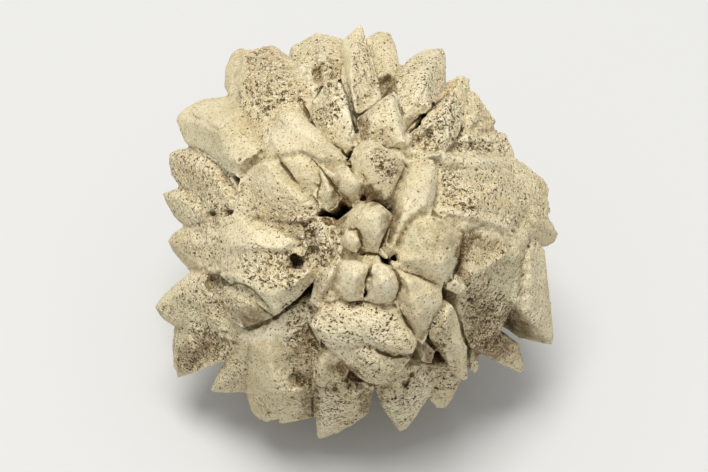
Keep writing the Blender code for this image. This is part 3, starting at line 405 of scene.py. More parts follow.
# Where | spread | strength | run
CRACKS = [Crack(where, float(spread), float(strength), read_corners(run))
          for where, spread, strength, run in read_rows("""
left slab from middle slab | 0.34 | 1.6 | -15.6,15.4 -14.4,13.2 -12.6,10.8 -10.4,8.4
under the slabs | 0.25 | 0.8 | -10.4,8.4 -8.6,7 -7.4,5.4 -7.2,3.8
middle slab, short | 0.34 | 1.3 | -7.4,12.2 -7,10 -7.6,8 -7.2,5.6
right slab from middle slab | 0.31 | 1.3 | -10.4,15.8 -8.6,14.4 -7,12.8 -5.4,10.8 -4.2,9 -3.2,7
    -3.8,4.8
left slab's upper corner | 0.25 | 0.6 | -15.4,15.2 -17.2,14.8 -18.6,14.6 -21,12.8 -23,10.8
wedge from great slab | 0.28 | 0.8 | -5.2,18.2 -3.4,17 -1.8,15.2
wedge from spike | 0.28 | 0.6 | -1.8,28.8 -0.6,24.8 0.4,21.2 0.6,17.2
north knob, west | 0.34 | 1.2 | 1.4,18.2 -0.4,16.8 -1.4,14.4 -0.6,12.2 1.4,10.6
north knob, north | 0.28 | 0.8 | 1.4,18.2 4.2,18.6 6.2,17 9,16.4 11,14.4
north knob, east | 0.25 | 0.7 | 11,14.4 9.4,11.6 8.2,8.4 6.8,6.6
west wedge | 0.3 | 0.7 | -33.6,24 -30.4,22.2
west wedge from west tip | 0.22 | 0.6 | -34.2,17.2 -31,16.4 -28,14.4 -25.8,11.2 -22.8,6.8
lip crystal, south west | 0.31 | 1.0 | -28.2,-9.2 -25.8,-10.8 -23,-10.4 -20.6,-11.8 -18.2,-14
    -16,-17
lip crystal, south east | 0.37 | 1.1 | -16,-17 -13.6,-15.6 -10.8,-13.2 -8.4,-10.4 -7.2,-8
south block, west | 0.43 | 1.2 | -9.8,-17.2 -9,-19.8 -7.4,-22.4 -6.2,-24
slit | 0.5 | 1.3 | 3.2,-23.2 5.4,-24.2 7.8,-25 11.8,-24.6
south blades' parting | 0.37 | 1.0 | 3.8,-31.2 4.6,-34 3.8,-36.4
centre knob, east | 0.37 | 1.4 | 7.8,3 6.6,0 5.2,-2.8 4.4,-4.6
junction | 0.37 | 1.3 | -0.4,-4.8 2.2,-4.4 4.4,-4.6 6.4,-6.2 8.2,-7.6
diamond, south west | 0.31 | 1.2 | 8.2,-7.2 13,-9 17.2,-11
diamond, east | 0.31 | 1.0 | 21.6,-0.8 20.8,-6 19.4,-9.6 17.2,-11
south knobs' parting | 0.37 | 1.4 | 3.4,-6 2.8,-8 2.2,-10.8 1.8,-14
bright knob, east | 0.34 | 1.2 | 6.2,-6 8.2,-8 9.2,-10.6 8.4,-13.4 6.4,-15
south knobs' foot | 0.31 | 0.9 | -3.8,-13.6 -1,-14.2 1.8,-14 6.4,-15
south block from south knob | 0.34 | 1.2 | 8.4,-13.4 9.4,-16.6 11.2,-19.4 12.8,-21.8
split foot's rim | 0.31 | 0.9 | 17,-15 15.2,-18.4 14.4,-21.8 16.4,-24.2
split foot from east face | 0.31 | 1.0 | 21,-17.2 21.4,-20.6 22.6,-23 22.8,-28.8
north east crevice | 0.43 | 1.1 | 20.2,29.6 17.2,26.4 14.2,23.6 11.4,21.4 10,19.6
north east point's foot | 0.31 | 0.8 | 8.2,26.8 9.4,24 9.8,20.4
east plate from east face | 0.25 | 0.5 | 16.6,14 16.6,9.6 16,6.2 14.8,3.6
pit band | 0.37 | 0.6 | 20.2,18.2 23.8,17.6 27.8,17.8 30.2,17.2
east blade from hollow face | 0.25 | 0.6 | 34.6,-3.6 34.2,-8.8 32.2,-14.4 30.6,-19.6
fan's shadow | 0.3 | 0.9 | -8.4,-32 -8.6,-34.4 -8.2,-37.2
bright patch's edge | 0.22 | 0.6 | -24.2,-3.4 -22.6,-3.2 -21,-2.4 -19.4,-3 -17.8,-3.6 -15.4,-3.8
round the nub | 0.37 | 1.3 | -2.6,-0.8 -1.4,0.6 0.2,0.4 1.2,-1.2 1.4,-3 0.4,-4.4
great west blade's groove | 0.45 | 1.2 | -10.8,26.2 -9.8,24 -8.8,21.8
blade's crack | 0.4 | 0.9 | 11.8,-27.2 11,-29.2 10,-31.2 9.6,-33
""")]


@dataclass(frozen=True)
class Filling:
    """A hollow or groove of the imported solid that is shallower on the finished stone.

    Args:
        run: one spot, or the spots of a line, as (across, up) in millimetres from the heart.
        reach: how far the filling spreads from it, in millimetres.
        sunk: how far it stays under the face around it, in millimetres.
        thick: how thick it is, in millimetres.
    """

    run: tuple[Corner, ...]
    reach: float
    sunk: float
    thick: float = 5.0

    def outlines(self) -> list[list[Corner]]:
        """The outline of each of its pieces.

        Returns:
            An eight-sided outline round a spot, or a four-sided one along each leg of a line.
        """
        if len(self.run) == 1:
            (across, up), sides = self.run[0], 8
            turns = [math.tau * step / sides for step in range(sides)]
            return [[(across + self.reach * math.cos(turn), up + self.reach * math.sin(turn))
                     for turn in turns]]
        made = []
        for (x0, y0), (x1, y1) in zip(self.run, self.run[1:]):
            share = self.reach / math.hypot(x1 - x0, y1 - y0)
            ax, ay = (x1 - x0) * share, (y1 - y0) * share
            made.append([(x0 - ay, y0 + ax), (x0 + ay, y0 - ax), (x1 + ay, y1 - ax),
                         (x1 - ay, y1 + ax)])
        return made


# Run | reach | sunk, and | thickness where it isn't the usual one
FILLINGS = [Filling(read_corners(run), *map(float, sizes)) for run, *sizes in read_rows("""
-3.2,26.4 | 1.5 | 0.5
-4.4,29.4 | 1.1 | 0.3
-6.6,24.4 | 1.3 | 0.3
11,29.4 | 1.2 | 0.3
10.6,25.8 | 1.3 | 0.5
13.4,30.4 | 1.1 | 0.3
14.4,19.4 | 1.9 | 0.8
18,20.6 | 1.5 | 0.3
15.6,22.4 | 1.1 | 0.3
5,14.4 | 1.8 | 0.35
7,10.8 | 1.2 | 0.2
22.2,17.8 | 1.3 | 0.6
25,18 | 1.2 | 0.6
28,17.8 | 1.2 | 0.4
18.8,11 | 1.7 | 0.5
20.2,7.4 | 1.5 | 0.6
21.8,3.6 | 1.5 | 0.3
24.8,-0.8 | 1.4 | 0.4
28.4,-2.4 | 1.4 | 0.4
25,-8.6 | 1.1 | 0.3
24,-17.6 | 1.2 | 0.4
-31.6,7 | 1.3 | 0.4
-24.4,5.4 | 1.2 | 0.3
-13,3.4 | 1.2 | 0.3
-14.2,-6.4 | 1.7 | 1.2
-30.2,-13 | 1.5 | 0.4
-29.4,-16.6 | 1.3 | 0.3
-29,-21 | 1.5 | 0.4
-27.4,-23.4 | 1.2 | 0.3
-22.4,-17 | 1.6 | 0.4
-21,-25.4 | 1.3 | 0.4
-13,-25.6 | 1.5 | 0.5
-11,-21 | 1.6 | 0.5
-9.2,-24 | 1.3 | 0.4
-4.4,-34 | 1.1 | 0.3
9,-33 | 1.3 | 0.4
11.6,-28.6 | 1.2 | 0.4
17,-18.6 | 1.2 | 0.2
16.4,-21 | 1.1 | 0.2
27,-23.4 | 1.2 | 0.3
-24.6,30.6 | 1.1 | 0.2
-15.8,15.2 -14,12.2 -12.6,10.4 -9.8,7.8 | 0.8 | 0.2
-7.3,13.2 -7,10 -7.7,7.8 -7,4.4 | 0.7 | 0.2
-10.4,16.4 -8,14.4 -6,12.2 -4.2,9.8 -2.8,6.6 | 0.8 | 0.2
-25.4,-6 -21,-6 | 3.2 | 0.3
-21,-6 -17,-6 | 3.2 | 0.3
-17,-6 -13.4,-5.4 | 3.1 | 0.4
12,14.8 | 1.4 | 0.2
-9.2,-0.6 | 1.6 | 0.9
-8.6,-3 | 1.5 | 0.8
-3.6,-27.6 | 2.4 | 1.2
-2.2,-4.4 1.8,-4.8 | 1.3 | 1.6 | 15
1.8,-4.8 5.2,-5.6 | 1.3 | 1.2 | 15
8.8,10.4 7.8,7.6 6.6,5.2 | 1.3 | 1 | 13
-3.6,2.2 -2.8,-0.8 | 1 | 0.9 | 12
6.8,6.4 | 1.6 | 1 | 13
-7.8,31.2 | 1.7 | 0.8
-11.6,-29.2 | 1.8 | 1.2
16,27.2 | 1.3 | 1 | 8
14.2,24.6 | 1.3 | 1 | 8
-4.2,-11.6 -2.4,-13.8 | 1.2 | 0.6 | 12
-25.8,-4.8 -25.8,-8 | 2 | 0.2 | 5
""")]


@dataclass(frozen=True)
class Form:
    """The relief of one crystal: faces that fall from its ridges to its rim.

    Args:
        crystal: the crystal.
        rim: its outline as (across, up, rise) in millimetres; the stone's boldness draws out the
            rise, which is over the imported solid.
        ridges: the lines where its faces meet, in the same way.
        bevel: how wide the worn edge along its rim is, in millimetres.
        drop: how far that edge falls, drawn out like a rise.
    """

    crystal: str
    rim: tuple[Corner, ...]
    ridges: tuple[tuple[Corner, ...], ...]
    bevel: float = 0.45
    drop: float = 0.35

    def facets(self) -> list[np.ndarray]:
        """Its faces.

        Returns:
            Triangles, each with a row (across, up, rise) for every corner.
        """
        corners, edges = list(self.rim), []
        for ridge in self.ridges:
            edges += [(len(corners) + step, len(corners) + step + 1)
                      for step in range(len(ridge) - 1)]
            corners += ridge
        flat = [Vector(corner[:2]) for corner in corners]
        inside_rim, closest = 1, 1e-4
        _, _, faces, sources, _, _ = delaunay_2d_cdt(
            flat, edges, [list(range(len(self.rim)))], inside_rim, closest)
        return [np.array([corners[sources[corner][0]] for corner in face]) for face in faces]

    def lay(self, places: Places, rise: np.ndarray) -> None:
        """Writes the crystal's relief over what lies behind it.

        Args:
            places: places on the crown.
            rise: the relief there so far, changed in place.
        """
        outline, tolerance = tuple(corner[:2] for corner in self.rim), 1e-6
        for facet in self.facets():
            near = places.boxed(facet[:, :2])
            found = places[near]
            sides = np.column_stack([facet[:, :2], np.ones(3)]).T
            shares = np.linalg.solve(sides, np.stack([found.across, found.up,
                                                      np.ones(len(near))]))
            within = shares.min(0) >= -tolerance
            edge = np.clip(1 - found[within].inside(outline) / self.bevel, 0, 1)
            rise[near[within]] = facet[:, 2] @ shares[:, within] - self.drop * edge


# Crystal | rim, and | a ridge for each of its ridges. A later crystal lies over an earlier one.
FORMS = [Form(crystal, read_corners(rim), tuple(map(read_corners, ridges)))
         for crystal, rim, *ridges in read_rows("""
north back blade | -13.4,34.8,-0.3 -12.8,37.4,0 -10.2,38.4,0 -7.6,40.2,0 -5,39.4,0 -2.6,38.8,-0.2
    -1.8,36.4,-0.4 -2.4,33.2,-0.6 -4.8,30.8,-0.6 -6.6,29.2,-0.9 -8.6,31.8,-0.6 -11,33.6,-0.4 |
    -9.8,37.6,0.3 -7.8,36,0.7 -5.8,34.8,0.8 -3.4,35.2,0.2 | -8.2,32.4,-0.5 -6.8,31.2,-0.6
    -5.6,32,-0.4
back shell | 2.2,37.6,-0.6 4.2,40,0 6.6,40.2,0 8.2,37.6,0 9.4,33.2,-0.1 7.8,31.2,-0.6 5.4,27,-0.9
    4.2,28.8,-0.9 3,34,-0.7 | 5.4,39.2,0.5 6.2,35.2,0.8 6.6,32,0.2
spike | -2.6,38.4,-0.2 -0.6,40.8,0 1.4,41,0 2.2,37.2,-0.3 3.4,32.8,-0.4 4.4,27.6,-0.6 2.2,25.2,-0.6
    0.2,22.8,-0.6 0.8,18.2,-0.7 -0.2,20.8,-0.4 -1,25.6,-0.2 -2,29.6,-0.3 -2.6,34.4,-0.3 |
    0.4,39.6,0.4 -0.8,33.6,0.9 -0.6,28,0.8 0.2,23.6,0 | 1.4,32.4,0.2 2.6,28,-0.1
north east point | 9.6,33.4,-0.1 12,35.4,0 14.4,36.8,0 17.6,37.2,0 18.4,34.4,0 18.2,30.8,-0.1
    18.6,29.8,-0.4 16.4,26.6,-0.7 13.8,23.8,-0.9 12.4,21.8,-1 10.8,19.4,-1.2 9.2,20.8,-0.7
    8.6,24,-0.4 7.8,26.8,-0.4 7.2,28.8,-0.6 8.2,31.2,-0.6 | 16.6,35.6,0.4 14.6,31.2,0.9
    12.2,27.2,0.8 10.2,24,0.2 | 10.2,32.2,0.3 14.6,31.2,0.9 | 17.2,32,0.2 15,27.2,-0.3
great west blade | -24.6,28,-0.2 -24.2,32,-0.1 -21.8,35.6,-0.1 -16.6,38,0 -13,35.2,0 -10.2,33.2,0
    -7.2,29.4,0.1 -8.4,26.6,0 -9.4,22.6,-0.3 -11.6,24.2,-0.6 -14.2,24.8,-0.6 -16.4,22,-0.6
    -18.6,24,-0.3 -21.8,25.6,-0.2 | -17,36.4,0.6 -18.6,31.2,0.8 -18.2,26.4,0.4 | -14.2,34,0.4
    -10.4,28.4,0.5 | -23,33.2,0.4 -23.4,28.8,0.3
long west wedge | -36.2,22.2,-0.1 -33.4,25.4,0 -31,26.8,0 -26.6,27,-0.1 -25,28,-0.3 -22.4,25.6,-0.1
    -21,21.6,-0.1 -18,18,-0.4 -18.6,14.6,-0.9 -22.6,10.8,-1 -25,12,-0.6 -26.6,13.6,-0.2
    -29.4,15.2,-0.2 -31.4,16.4,-0.2 -34.2,17,-0.2 | -35,22.6,0.2 -31,21.6,0.4 -27,19.2,0.6
    -25.4,14.8,0.9 -23,13.8,1 -20.2,15.4,0.9 -18.6,17.2,0.1 | -29.8,25.2,0.6 -25.4,22.8,0.8
    -21.8,18.4,0.9 -20.2,15.4,0.9
west tip | -37.6,15,0 -36.6,16.2,0 -34.2,16.8,-0.1 -31,16.2,-0.1 -28,14.2,-0.2 -25.8,11.4,-0.4
    -22.8,6.8,-0.6 -25.8,4,-0.4 -28.2,3.2,-0.6 -31,5.4,-0.6 -32.8,8,-0.6 -34.6,8.6,-0.3 -36.8,10.8,0
    | -36.6,15,0.3 -33.4,14,0.6 -29.8,12.2,0.7 -26.2,7.6,0.4 | -34.2,11.2,-0.1 -30.2,8,-0.3
lower west tip | -38.8,7.8,0 -37,8.4,0 -34.6,8.8,-0.3 -32.6,7.8,-0.5 -31,5.4,-0.6 -28.4,3.2,-0.7
    -29.8,1.8,-0.5 -34.2,0.8,-0.2 -36.2,3.4,0 -37.8,5.8,0 | -38,7.4,0.2 -34.6,6.4,0.6 -31,3.6,0.3
third west tip | -38,-1.8,0 -35.8,0.2,0 -34,1,-0.3 -30,1.8,-0.5 -28.2,2.8,-0.6 -26.2,0.4,-0.4
    -27.2,-3.2,-0.5 -28.2,-6.4,-0.6 -29.8,-7.6,-0.4 -32.8,-7.6,-0.2 -35.4,-4.8,0 | -37,-1.8,0.2
    -33.4,-2,0.7 -29.4,-1.8,0.4
west spike | -40.6,-15,0 -37,-11.6,0 -33,-7.4,-0.1 -30.4,-7.2,-0.5 -28.2,-9.2,-0.9 -25.8,-11.2,-0.5
    -26.6,-14,-0.4 -25.8,-16.8,-0.4 -23.4,-18.8,-0.6 -27.8,-19.4,-0.6 -31.4,-18.2,-0.4
    -36,-19.2,-0.1 -39,-17.2,0 | -39.4,-14.8,0.4 -35.8,-12.8,0.8 -31.8,-11.2,0.9 -30.2,-10,0.4 |
    -35,-17,0.1 -30.2,-16.4,0.3 -26.2,-18,-0.1
south west spike | -36,-19,-0.3 -31.8,-18,-0.5 -28,-19.2,-0.5 -24.6,-20.4,-0.4 -22.8,-22,-0.4
    -25.2,-25.4,-0.1 -29.8,-27.6,-0.1 -33.8,-29,0 -35.2,-29.4,0 -36.4,-26,0 -36.8,-22.4,-0.1 |
    -33.4,-19.2,0.5 -33,-23.2,0.8 -34.4,-27.8,0.3 | -28.6,-20,-1.1 -30.4,-23.6,-0.9 -32.2,-26.8,-0.4
south west blade | -29.2,-32,0 -26.8,-28,0 -25.2,-25.4,-0.2 -22.8,-22.2,-0.4 -20.6,-21.2,-0.1
    -21.2,-25.6,-0.3 -21.4,-31.6,-0.4 -25,-32.2,0 | -28,-31.2,0.3 -24.6,-27.2,0.7 -21.8,-22.8,0.4
south fan | -21.4,-21.2,0 -20.6,-19.2,0.2 -15.8,-16.8,0.4 -11.8,-14,0.4 -8.6,-13.6,0.1
    -8.4,-21.2,-0.6 -6.6,-24,-0.7 -8.4,-27.2,-0.9 -8.6,-30.8,-1.6 -8.2,-36.8,-1.6 -11.8,-37.6,0
    -15.4,-38.6,0 -15.6,-37,-0.2 -17.8,-38.2,0 -20,-37.8,0 -21,-33.6,-0.1 -21.2,-26.8,-0.1 |
    -17.4,-20,0.7 -17.8,-25.6,0.8 -18.6,-31.6,0.8 -19,-37.2,0.3 | -13,-20.8,0.3 -12.8,-24,-0.6
    -11.4,-28.4,-1.5 -11.2,-30,-1.4 | -14.2,-32,0.9 -11.6,-31.8,0.6 -11,-36.8,0.4 | -15.4,-33.2,0.6
    -15.4,-37.6,-0.3
west south blade | -8.4,-30.8,-0.8 -6.8,-30.4,-0.6 -5,-30.8,-0.6 -3.4,-29.2,-0.6 -1.6,-27.6,-0.7
    0.6,-30,-0.9 3.6,-31.8,-1.6 5,-34.4,-1.4 2.2,-36.4,-1.2 -0.6,-38.4,0 -4,-39.8,0 -7.6,-41.4,0
    -8.2,-37.2,-0.3 | -5.4,-32,0.5 -6,-36.4,0.7 -6.6,-40.4,0.3 | 0.2,-32,0.7 -0.2,-35.6,0.4
    -0.6,-37.8,0.2 | -3,-31.6,-0.4 -2.2,-35.2,-0.1
middle south blade | 3.8,-31.4,-0.8 6.4,-30.8,-0.9 8.8,-28.8,-0.9 11,-27.2,-0.9 13.8,-26.8,-0.7
    17.2,-27.6,-0.3 16.4,-30.6,-0.2 14.6,-33.8,0 11.6,-37.6,0 9,-40.2,0 7,-37.4,0 5,-34.4,-0.2 |
    7,-31.8,0.5 8.2,-35.2,0.8 9,-39.2,0.3 | 13,-27.8,0.4 13.4,-30.4,0.6 11.8,-34,0.5 | 11.4,-28.4,-1
    10.2,-32.6,-0.7
east south blade | 15,-33.8,-0.1 15.8,-30.8,-0.5 17.4,-28,-0.7 19.4,-28,-0.6 21,-29.2,-0.4
    20.4,-32,0 18.8,-34.8,0 17,-35.8,0 | 19.2,-29.4,0.4 18.6,-32.2,0.6 17.6,-34.8,0.3
south east spike | 21.4,-22,-0.7 24.6,-22.4,-0.7 27.8,-21.2,-1 30,-21.6,-0.9 33.2,-21.6,-0.2
    33.8,-26,0 33.4,-28.2,0 31.8,-28,0 27,-25.8,0 24.2,-24,-0.1 | 31.4,-22,-0.3 32.2,-24.8,0.6
    32.8,-27.4,0.3 | 26.2,-23.2,-0.6 29,-24.8,0.2 32.2,-24.8,0.6
east blade's underside | 29.6,-16.2,-0.6 31.8,-14.8,-0.5 35,-18.4,-0.5 38.4,-22.2,-0.2 35,-22.2,-0.6
    31,-21.8,-0.9 28.6,-21.2,-0.9 28.8,-19.2,-0.7 | 31,-17.2,-1.7 33,-20.2,-1.8
east blade | 34.4,-0.8,-0.6 36.2,-1.2,-0.1 37.2,-6,0 38.6,-13.6,0 40,-21.2,0 39.2,-22.8,0
    36.6,-20.2,-0.1 33.8,-17.2,-0.1 31.6,-14.6,-0.3 33,-13.6,-0.7 32.8,-11.2,-0.7 33.2,-7.2,-0.7
    33.6,-4,-0.6 | 35.2,-2.8,0.2 35,-6.8,0.7 35.6,-12.4,1 37.4,-17.2,0.8 39,-21.6,0.3
far east tip | 31.6,8.6,-0.1 35,10.4,0.1 37.2,9.2,0.1 39.2,5.6,0.1 40.2,1.2,0 40.8,-0.6,0
    39,-1.2,-0.1 37,0,-0.4 35,1.2,-0.4 32.6,5.2,-0.4 | 33.8,7.6,0.5 36.6,4,0.8 39.6,0,0.4
north east crystal | 11.2,19,-1 12.6,21.8,-0.7 15,23.8,-0.6 17.2,26.2,-0.6 19,29.2,-0.5 20.4,31,0
    21.6,32,0 23.2,30.6,0 22.6,28.2,-0.1 23,25.6,-0.3 21.4,22.8,-0.4 21.4,20,-0.5 19.4,18,-0.7
    18.4,16,-0.9 15.8,15.4,-0.6 13,16.2,-0.9 | 21.4,30.4,0.4 19.4,26.8,0.8 17,23.2,0.9 13.8,20.2,0.4
    | 19.4,26.8,0.8 19,22.8,0.7 18.2,18.4,0.2 | 15,21.2,-0.4 14.6,17.6,-0.9
crumbled shoulder | 22.6,28.4,-0.1 25,26.6,0 26.4,24,0 28.2,22.4,0 28.4,20.2,-0.1 25.8,19.8,-0.6
    21.8,20,-0.6 21.6,22.8,-0.3 23.2,25.6,-0.1 | 23.8,26,0.5 24.2,22.8,0.6 26.2,21.2,0.2
pitted shoulder | 18.6,16,-0.6 20,18.2,-0.5 22.2,19.8,-0.3 25.8,19.8,-0.1 29.8,20,0.1 31.2,16.8,0
    30.2,15.4,-0.4 25.8,16.2,-0.4 21.8,16.4,-0.6 | 21,18,0.5 25.4,18.4,0.8 29.6,18,0.4
fin | -8.6,-27.6,-0.6 -7.8,-25.2,-0.5 -6.4,-23.6,-0.4 -4.4,-24,-0.4 -2,-25.6,-0.7 -0.6,-27.4,-0.9
    1.4,-29.8,-1 -1.8,-29.6,-0.9 -4.2,-29.4,-0.6 -5.8,-30.4,-0.5 -7.8,-30.8,-0.5 | -5.6,-24.4,0.6
    -6.8,-26.8,0.9 -7,-29.8,0.4 | -4.2,-26,-0.6 -3,-27.8,-1
pitted wedge | -5,30.4,-0.3 -2.4,32,0.1 -1.2,29.2,-0.4 -0.4,25.2,-0.4 0.4,20.8,-0.6 0.4,18,-0.7
    -1.8,15.6,-0.7 -5.2,18.2,-0.6 -7.8,21,-0.6 -9,23.6,-0.6 -7.8,27.2,-0.6 | -3.2,30.4,0.6
    -2.6,26.8,0.8 -1.2,23.2,1 -0.4,19.2,0.3 | -5.8,22.4,0.1 -2.6,26.8,0.8
bright blade | 0.4,23.2,-0.7 4.2,25.6,-0.4 7.4,27.4,0.1 8.8,26.6,-0.1 9.6,23.6,-0.4 10,20.4,-0.4
    11.6,16.8,-0.4 11.2,14.4,-0.6 9,16.2,-0.6 6.2,17,-0.6 4.2,18.6,-0.6 1.4,18.2,-0.9 | 7.2,26.6,0.5
    8.2,22.4,0.9 9.8,18,0.6 | 3,23.2,0.3 3.2,19.6,-0.2
top slab | -18.4,14.6,-0.3 -17.8,18,-0.4 -16.8,21,-0.3 -14.2,24.6,0 -11.6,24,0.1 -9,21.6,0.1
    -5.2,18.2,-0.1 -2.8,16.4,-0.5 -1.2,14.4,-1.1 -1.8,12.6,-1.2 -4.2,11.6,-0.9 -7,13.4,-0.4
    -10.2,15.8,0.1 -14.8,14.8,0.1 | -14.8,23.2,0.5 -12.6,20.8,0.8 -9.4,19.2,0.9 -5.8,17.2,0.7
    -3,14.4,0.2 | -16.8,18.4,0.4 -15.2,16,0.6 -11.4,16.4,0.5 -7.4,14.8,0.3
left slab | -23,10.8,-0.6 -20.8,12.8,-0.5 -18.6,14.4,-0.1 -15.4,14.8,0.2 -14,12.4,-0.1
    -12.6,10.6,-0.1 -10.4,8.2,-0.1 -7.8,6.2,-0.4 -7,4.2,-0.7 -11,3,-0.4 -17,3.8,-0.2 -22.6,5,-0.4 |
    -17.8,13.6,0.9 -15.8,11,1.1 -13,8.2,1 -9.8,5.6,0.3 | -21,8,-0.4 -15.8,11,1.1
middle slab | -14.8,14.6,0.3 -10.6,15.6,0.2 -8.8,14.2,0.1 -7.2,12.4,-0.1 -7.4,9.6,-0.4 -8.6,7,-0.7
    -10.4,8.4,-0.5 -12.6,10.8,-0.2 | -11.2,14,0.5 -10.2,11.2,0.3
tooth | -7.2,12.4,0 -5.2,10.8,-0.1 -3.6,8.4,-0.4 -3.2,6.8,-0.6 -4.2,4.8,-0.6 -6.6,4.2,-0.5
    -7.2,6.4,-0.4 -7,9.6,-0.3 | -6.4,10.4,0.5 -5.4,8,0.7 -5.4,5.6,-0.3
tooth block | -4.4,12.2,-0.3 -1.4,13.4,-0.1 0.4,11.8,0.1 2,10,-0.1 1.6,8,-0.5 -0.2,5.6,-0.9
    -2.4,6,-0.7 -3.6,8.4,-0.6 | -3,11.2,0.6 -1,11.4,0.9 0.6,9.6,0.8 -0.6,7.2,0.2 -2.6,8,0.4
    -3,11.2,0.6
north knob | -1.4,14.2,-0.7 -0.4,16.6,-0.6 1.4,18.4,-0.6 3.2,18.8,-0.2 6,17,-0.2 9,16.2,-0.4
    11,14.4,-0.5 9.6,11.8,-0.4 8.8,8.4,-0.3 7,5,-0.6 2.6,5.2,-1.2 0.6,7.2,-1.1 1.8,10.2,-0.5
    -0.4,12.2,-0.6 | -0.2,13,0.4 1,15.6,0.8 3,17.4,0.9 6.2,15.8,0.8 8.8,14.8,0.3 | 3,10.4,0.5
    1,15.6,0.8 | 7.2,10.8,0.3 6.2,15.8,0.8
east plate | 16.4,13.8,-0.1 16.8,9.6,-0.3 16.2,5.8,-0.4 15,3.6,-0.4 12.8,3.2,-0.5 11,2,-0.6
    9.2,-1.6,-0.8 7.2,-5.6,-1.1 5.2,-3.4,-1.1 6.4,-0.2,-0.9 7.6,3.4,-0.6 6.8,6.2,-0.4 8.4,8.4,-0.3
    9.8,11.8,-0.3 11.2,14.2,-0.3 | 15.4,12.4,0.6 15,8.4,0.7 13.8,5.2,0.6 9.8,2,0.4 7.4,-2.8,-0.3 |
    11,12.8,0.3 9.4,7.2,0
centre knob | -3.6,2.6,-0.6 -1.8,4,-0.4 0.2,5.8,-0.5 2.4,6.4,-0.4 5,5.4,-0.4 7.4,3.6,-0.4
    6.8,0.2,-0.8 5.4,-2.8,-0.9 4,-5,-1.1 1.6,-4.6,-1.1 -0.6,-3.6,-0.9 -2.6,-2.4,-0.9 | -0.6,3.6,0.5
    2.2,4.2,1.1 5,3.4,1.2 4.8,0,0.9 3.2,-3.4,-0.2 | 2.2,4.2,1.1 1.8,0.8,0.8 3.2,-3.4,-0.2
nub | -2.4,-0.4,-0.1 -1.4,0.6,-0.1 0,0.4,-0.1 1.2,-1,-0.1 1.2,-2.8,-0.3 0,-4.6,-0.6 -1.6,-4.2,-0.6
    -2.8,-2.6,-0.4 | -1.6,-0.8,0.5 -0.2,-0.6,0.6 0.4,-2.2,0.6 -0.6,-3.2,0.4 -1.6,-2.2,0.5
    -1.6,-0.8,0.5
diamond | 13.8,3.6,-0.4 15.6,3.4,-0.3 18.4,2.2,-0.4 21.8,-0.8,-0.4 21.2,-4.4,-0.7 20,-7.8,-0.8
    18.8,-10.4,-0.9 17.2,-11.4,-0.8 13,-9.2,-0.5 8.2,-7.4,-0.6 7.2,-5.6,-0.6 9.2,-1.6,-0.4
    11.2,2.2,-0.4 | 11.8,0.8,0.2 15.2,1.8,0.5 18.8,0,0.8 19,-4.8,0.8 17.8,-9.6,0.3 | 9,-6,0
    13.8,-5.2,0.5 18.6,-6,0.8
left twin | -3.4,-6.4,-0.6 -0.8,-5.4,-0.4 2.2,-6,-0.4 3.4,-7,-0.7 2.8,-9.8,-0.9 1.6,-11.8,-0.9
    1.4,-14.2,-0.9 -1,-14.4,-0.6 -3.4,-13.6,-0.6 -4.8,-11.6,-0.6 -4.2,-8.8,-0.6 | -1,-6.8,0.4
    0,-9.2,0.8 -0.4,-12,0.6 | -3,-8,0.3 -2.6,-11.2,0.3
right twin | 3.2,-8.2,-0.7 3.8,-6.8,-0.6 5.6,-6.2,-0.4 7.2,-7.2,-0.4 8.6,-8.8,-0.5 9.4,-10.8,-0.6
    8.8,-13,-0.6 7.2,-14.8,-0.7 4.6,-14.6,-0.5 1.8,-14,-0.6 2.2,-11.4,-0.7 | 5,-8,0.5 6.6,-9.8,0.8
    6.6,-12,0.8 | 5,-8,0.5 3.8,-10.8,0.7 4.4,-13.2,0.4 | 3.8,-10.8,0.7 6.6,-12,0.8
south knob | 7.4,-7.2,-0.6 11,-8.6,-0.3 14,-9.6,-0.4 17.6,-11.6,-0.5 17.8,-14.8,-0.6 16.4,-17.4,-0.7
    14.6,-19.8,-0.9 13,-22.2,-0.9 11.2,-19.4,-0.7 9.4,-16.4,-0.6 8.4,-13.6,-0.7 9.4,-10.8,-0.6 |
    10.4,-9.8,0.6 11.2,-13.6,0.9 12.6,-18,0.6 | 15.4,-12.2,0.3 14.6,-15.2,0.4 12.6,-18,0.6
second block | -6.6,-23,-0.4 -1.8,-23.6,-0.1 3,-22.8,0.1 5.8,-24,0.1 8.4,-25.2,-0.1 11.6,-25.8,-0.7
    11.6,-27.8,-0.7 9,-29,-0.9 6.4,-31,-1 3.8,-31.2,-1 1,-29.6,-0.9 -1,-27.2,-0.8 | 1.2,-23.8,0.7
    2.4,-26.4,1.1 3.8,-29.6,0 | 2.4,-26.4,1.1 7.4,-27.2,0.1
great south block | -9.2,-18.4,-0.7 -8.2,-15.8,-0.7 -6,-14.2,-0.6 -3.4,-13.6,-0.7 -0.6,-14.4,-0.9
    1.8,-14,-0.9 6.6,-14.8,-0.7 8.4,-15.6,-0.4 9.8,-17.2,-0.4 11.4,-19.6,-0.4 13,-22.2,-0.5
    11.8,-25.4,-0.6 8.6,-25,-0.6 5.8,-24,-0.2 3,-22.8,0.2 -1.8,-23.6,0.1 -6.6,-23,-0.2
    -8.6,-20.6,-0.6 | -8.4,-18.8,0.6 -5.8,-20.2,0.6 -1.6,-20.4,0.5 3,-21.2,0.7 7,-23,0.9
    10.8,-23.6,0.6 | -6.6,-15.6,0.2 -0.6,-16,0.1 6.6,-16.4,0.2 10.8,-21.2,0.5
split foot | 15.4,-18.8,-0.7 16.6,-16.2,-0.6 18.4,-14.4,-0.3 20,-15.6,-0.4 21.4,-17.2,-0.6
    21.8,-20.4,-0.7 22.8,-23.2,-0.9 22.8,-28.8,-0.9 20.2,-29.6,-0.7 19,-24.4,-0.7 16.4,-24.4,-0.9
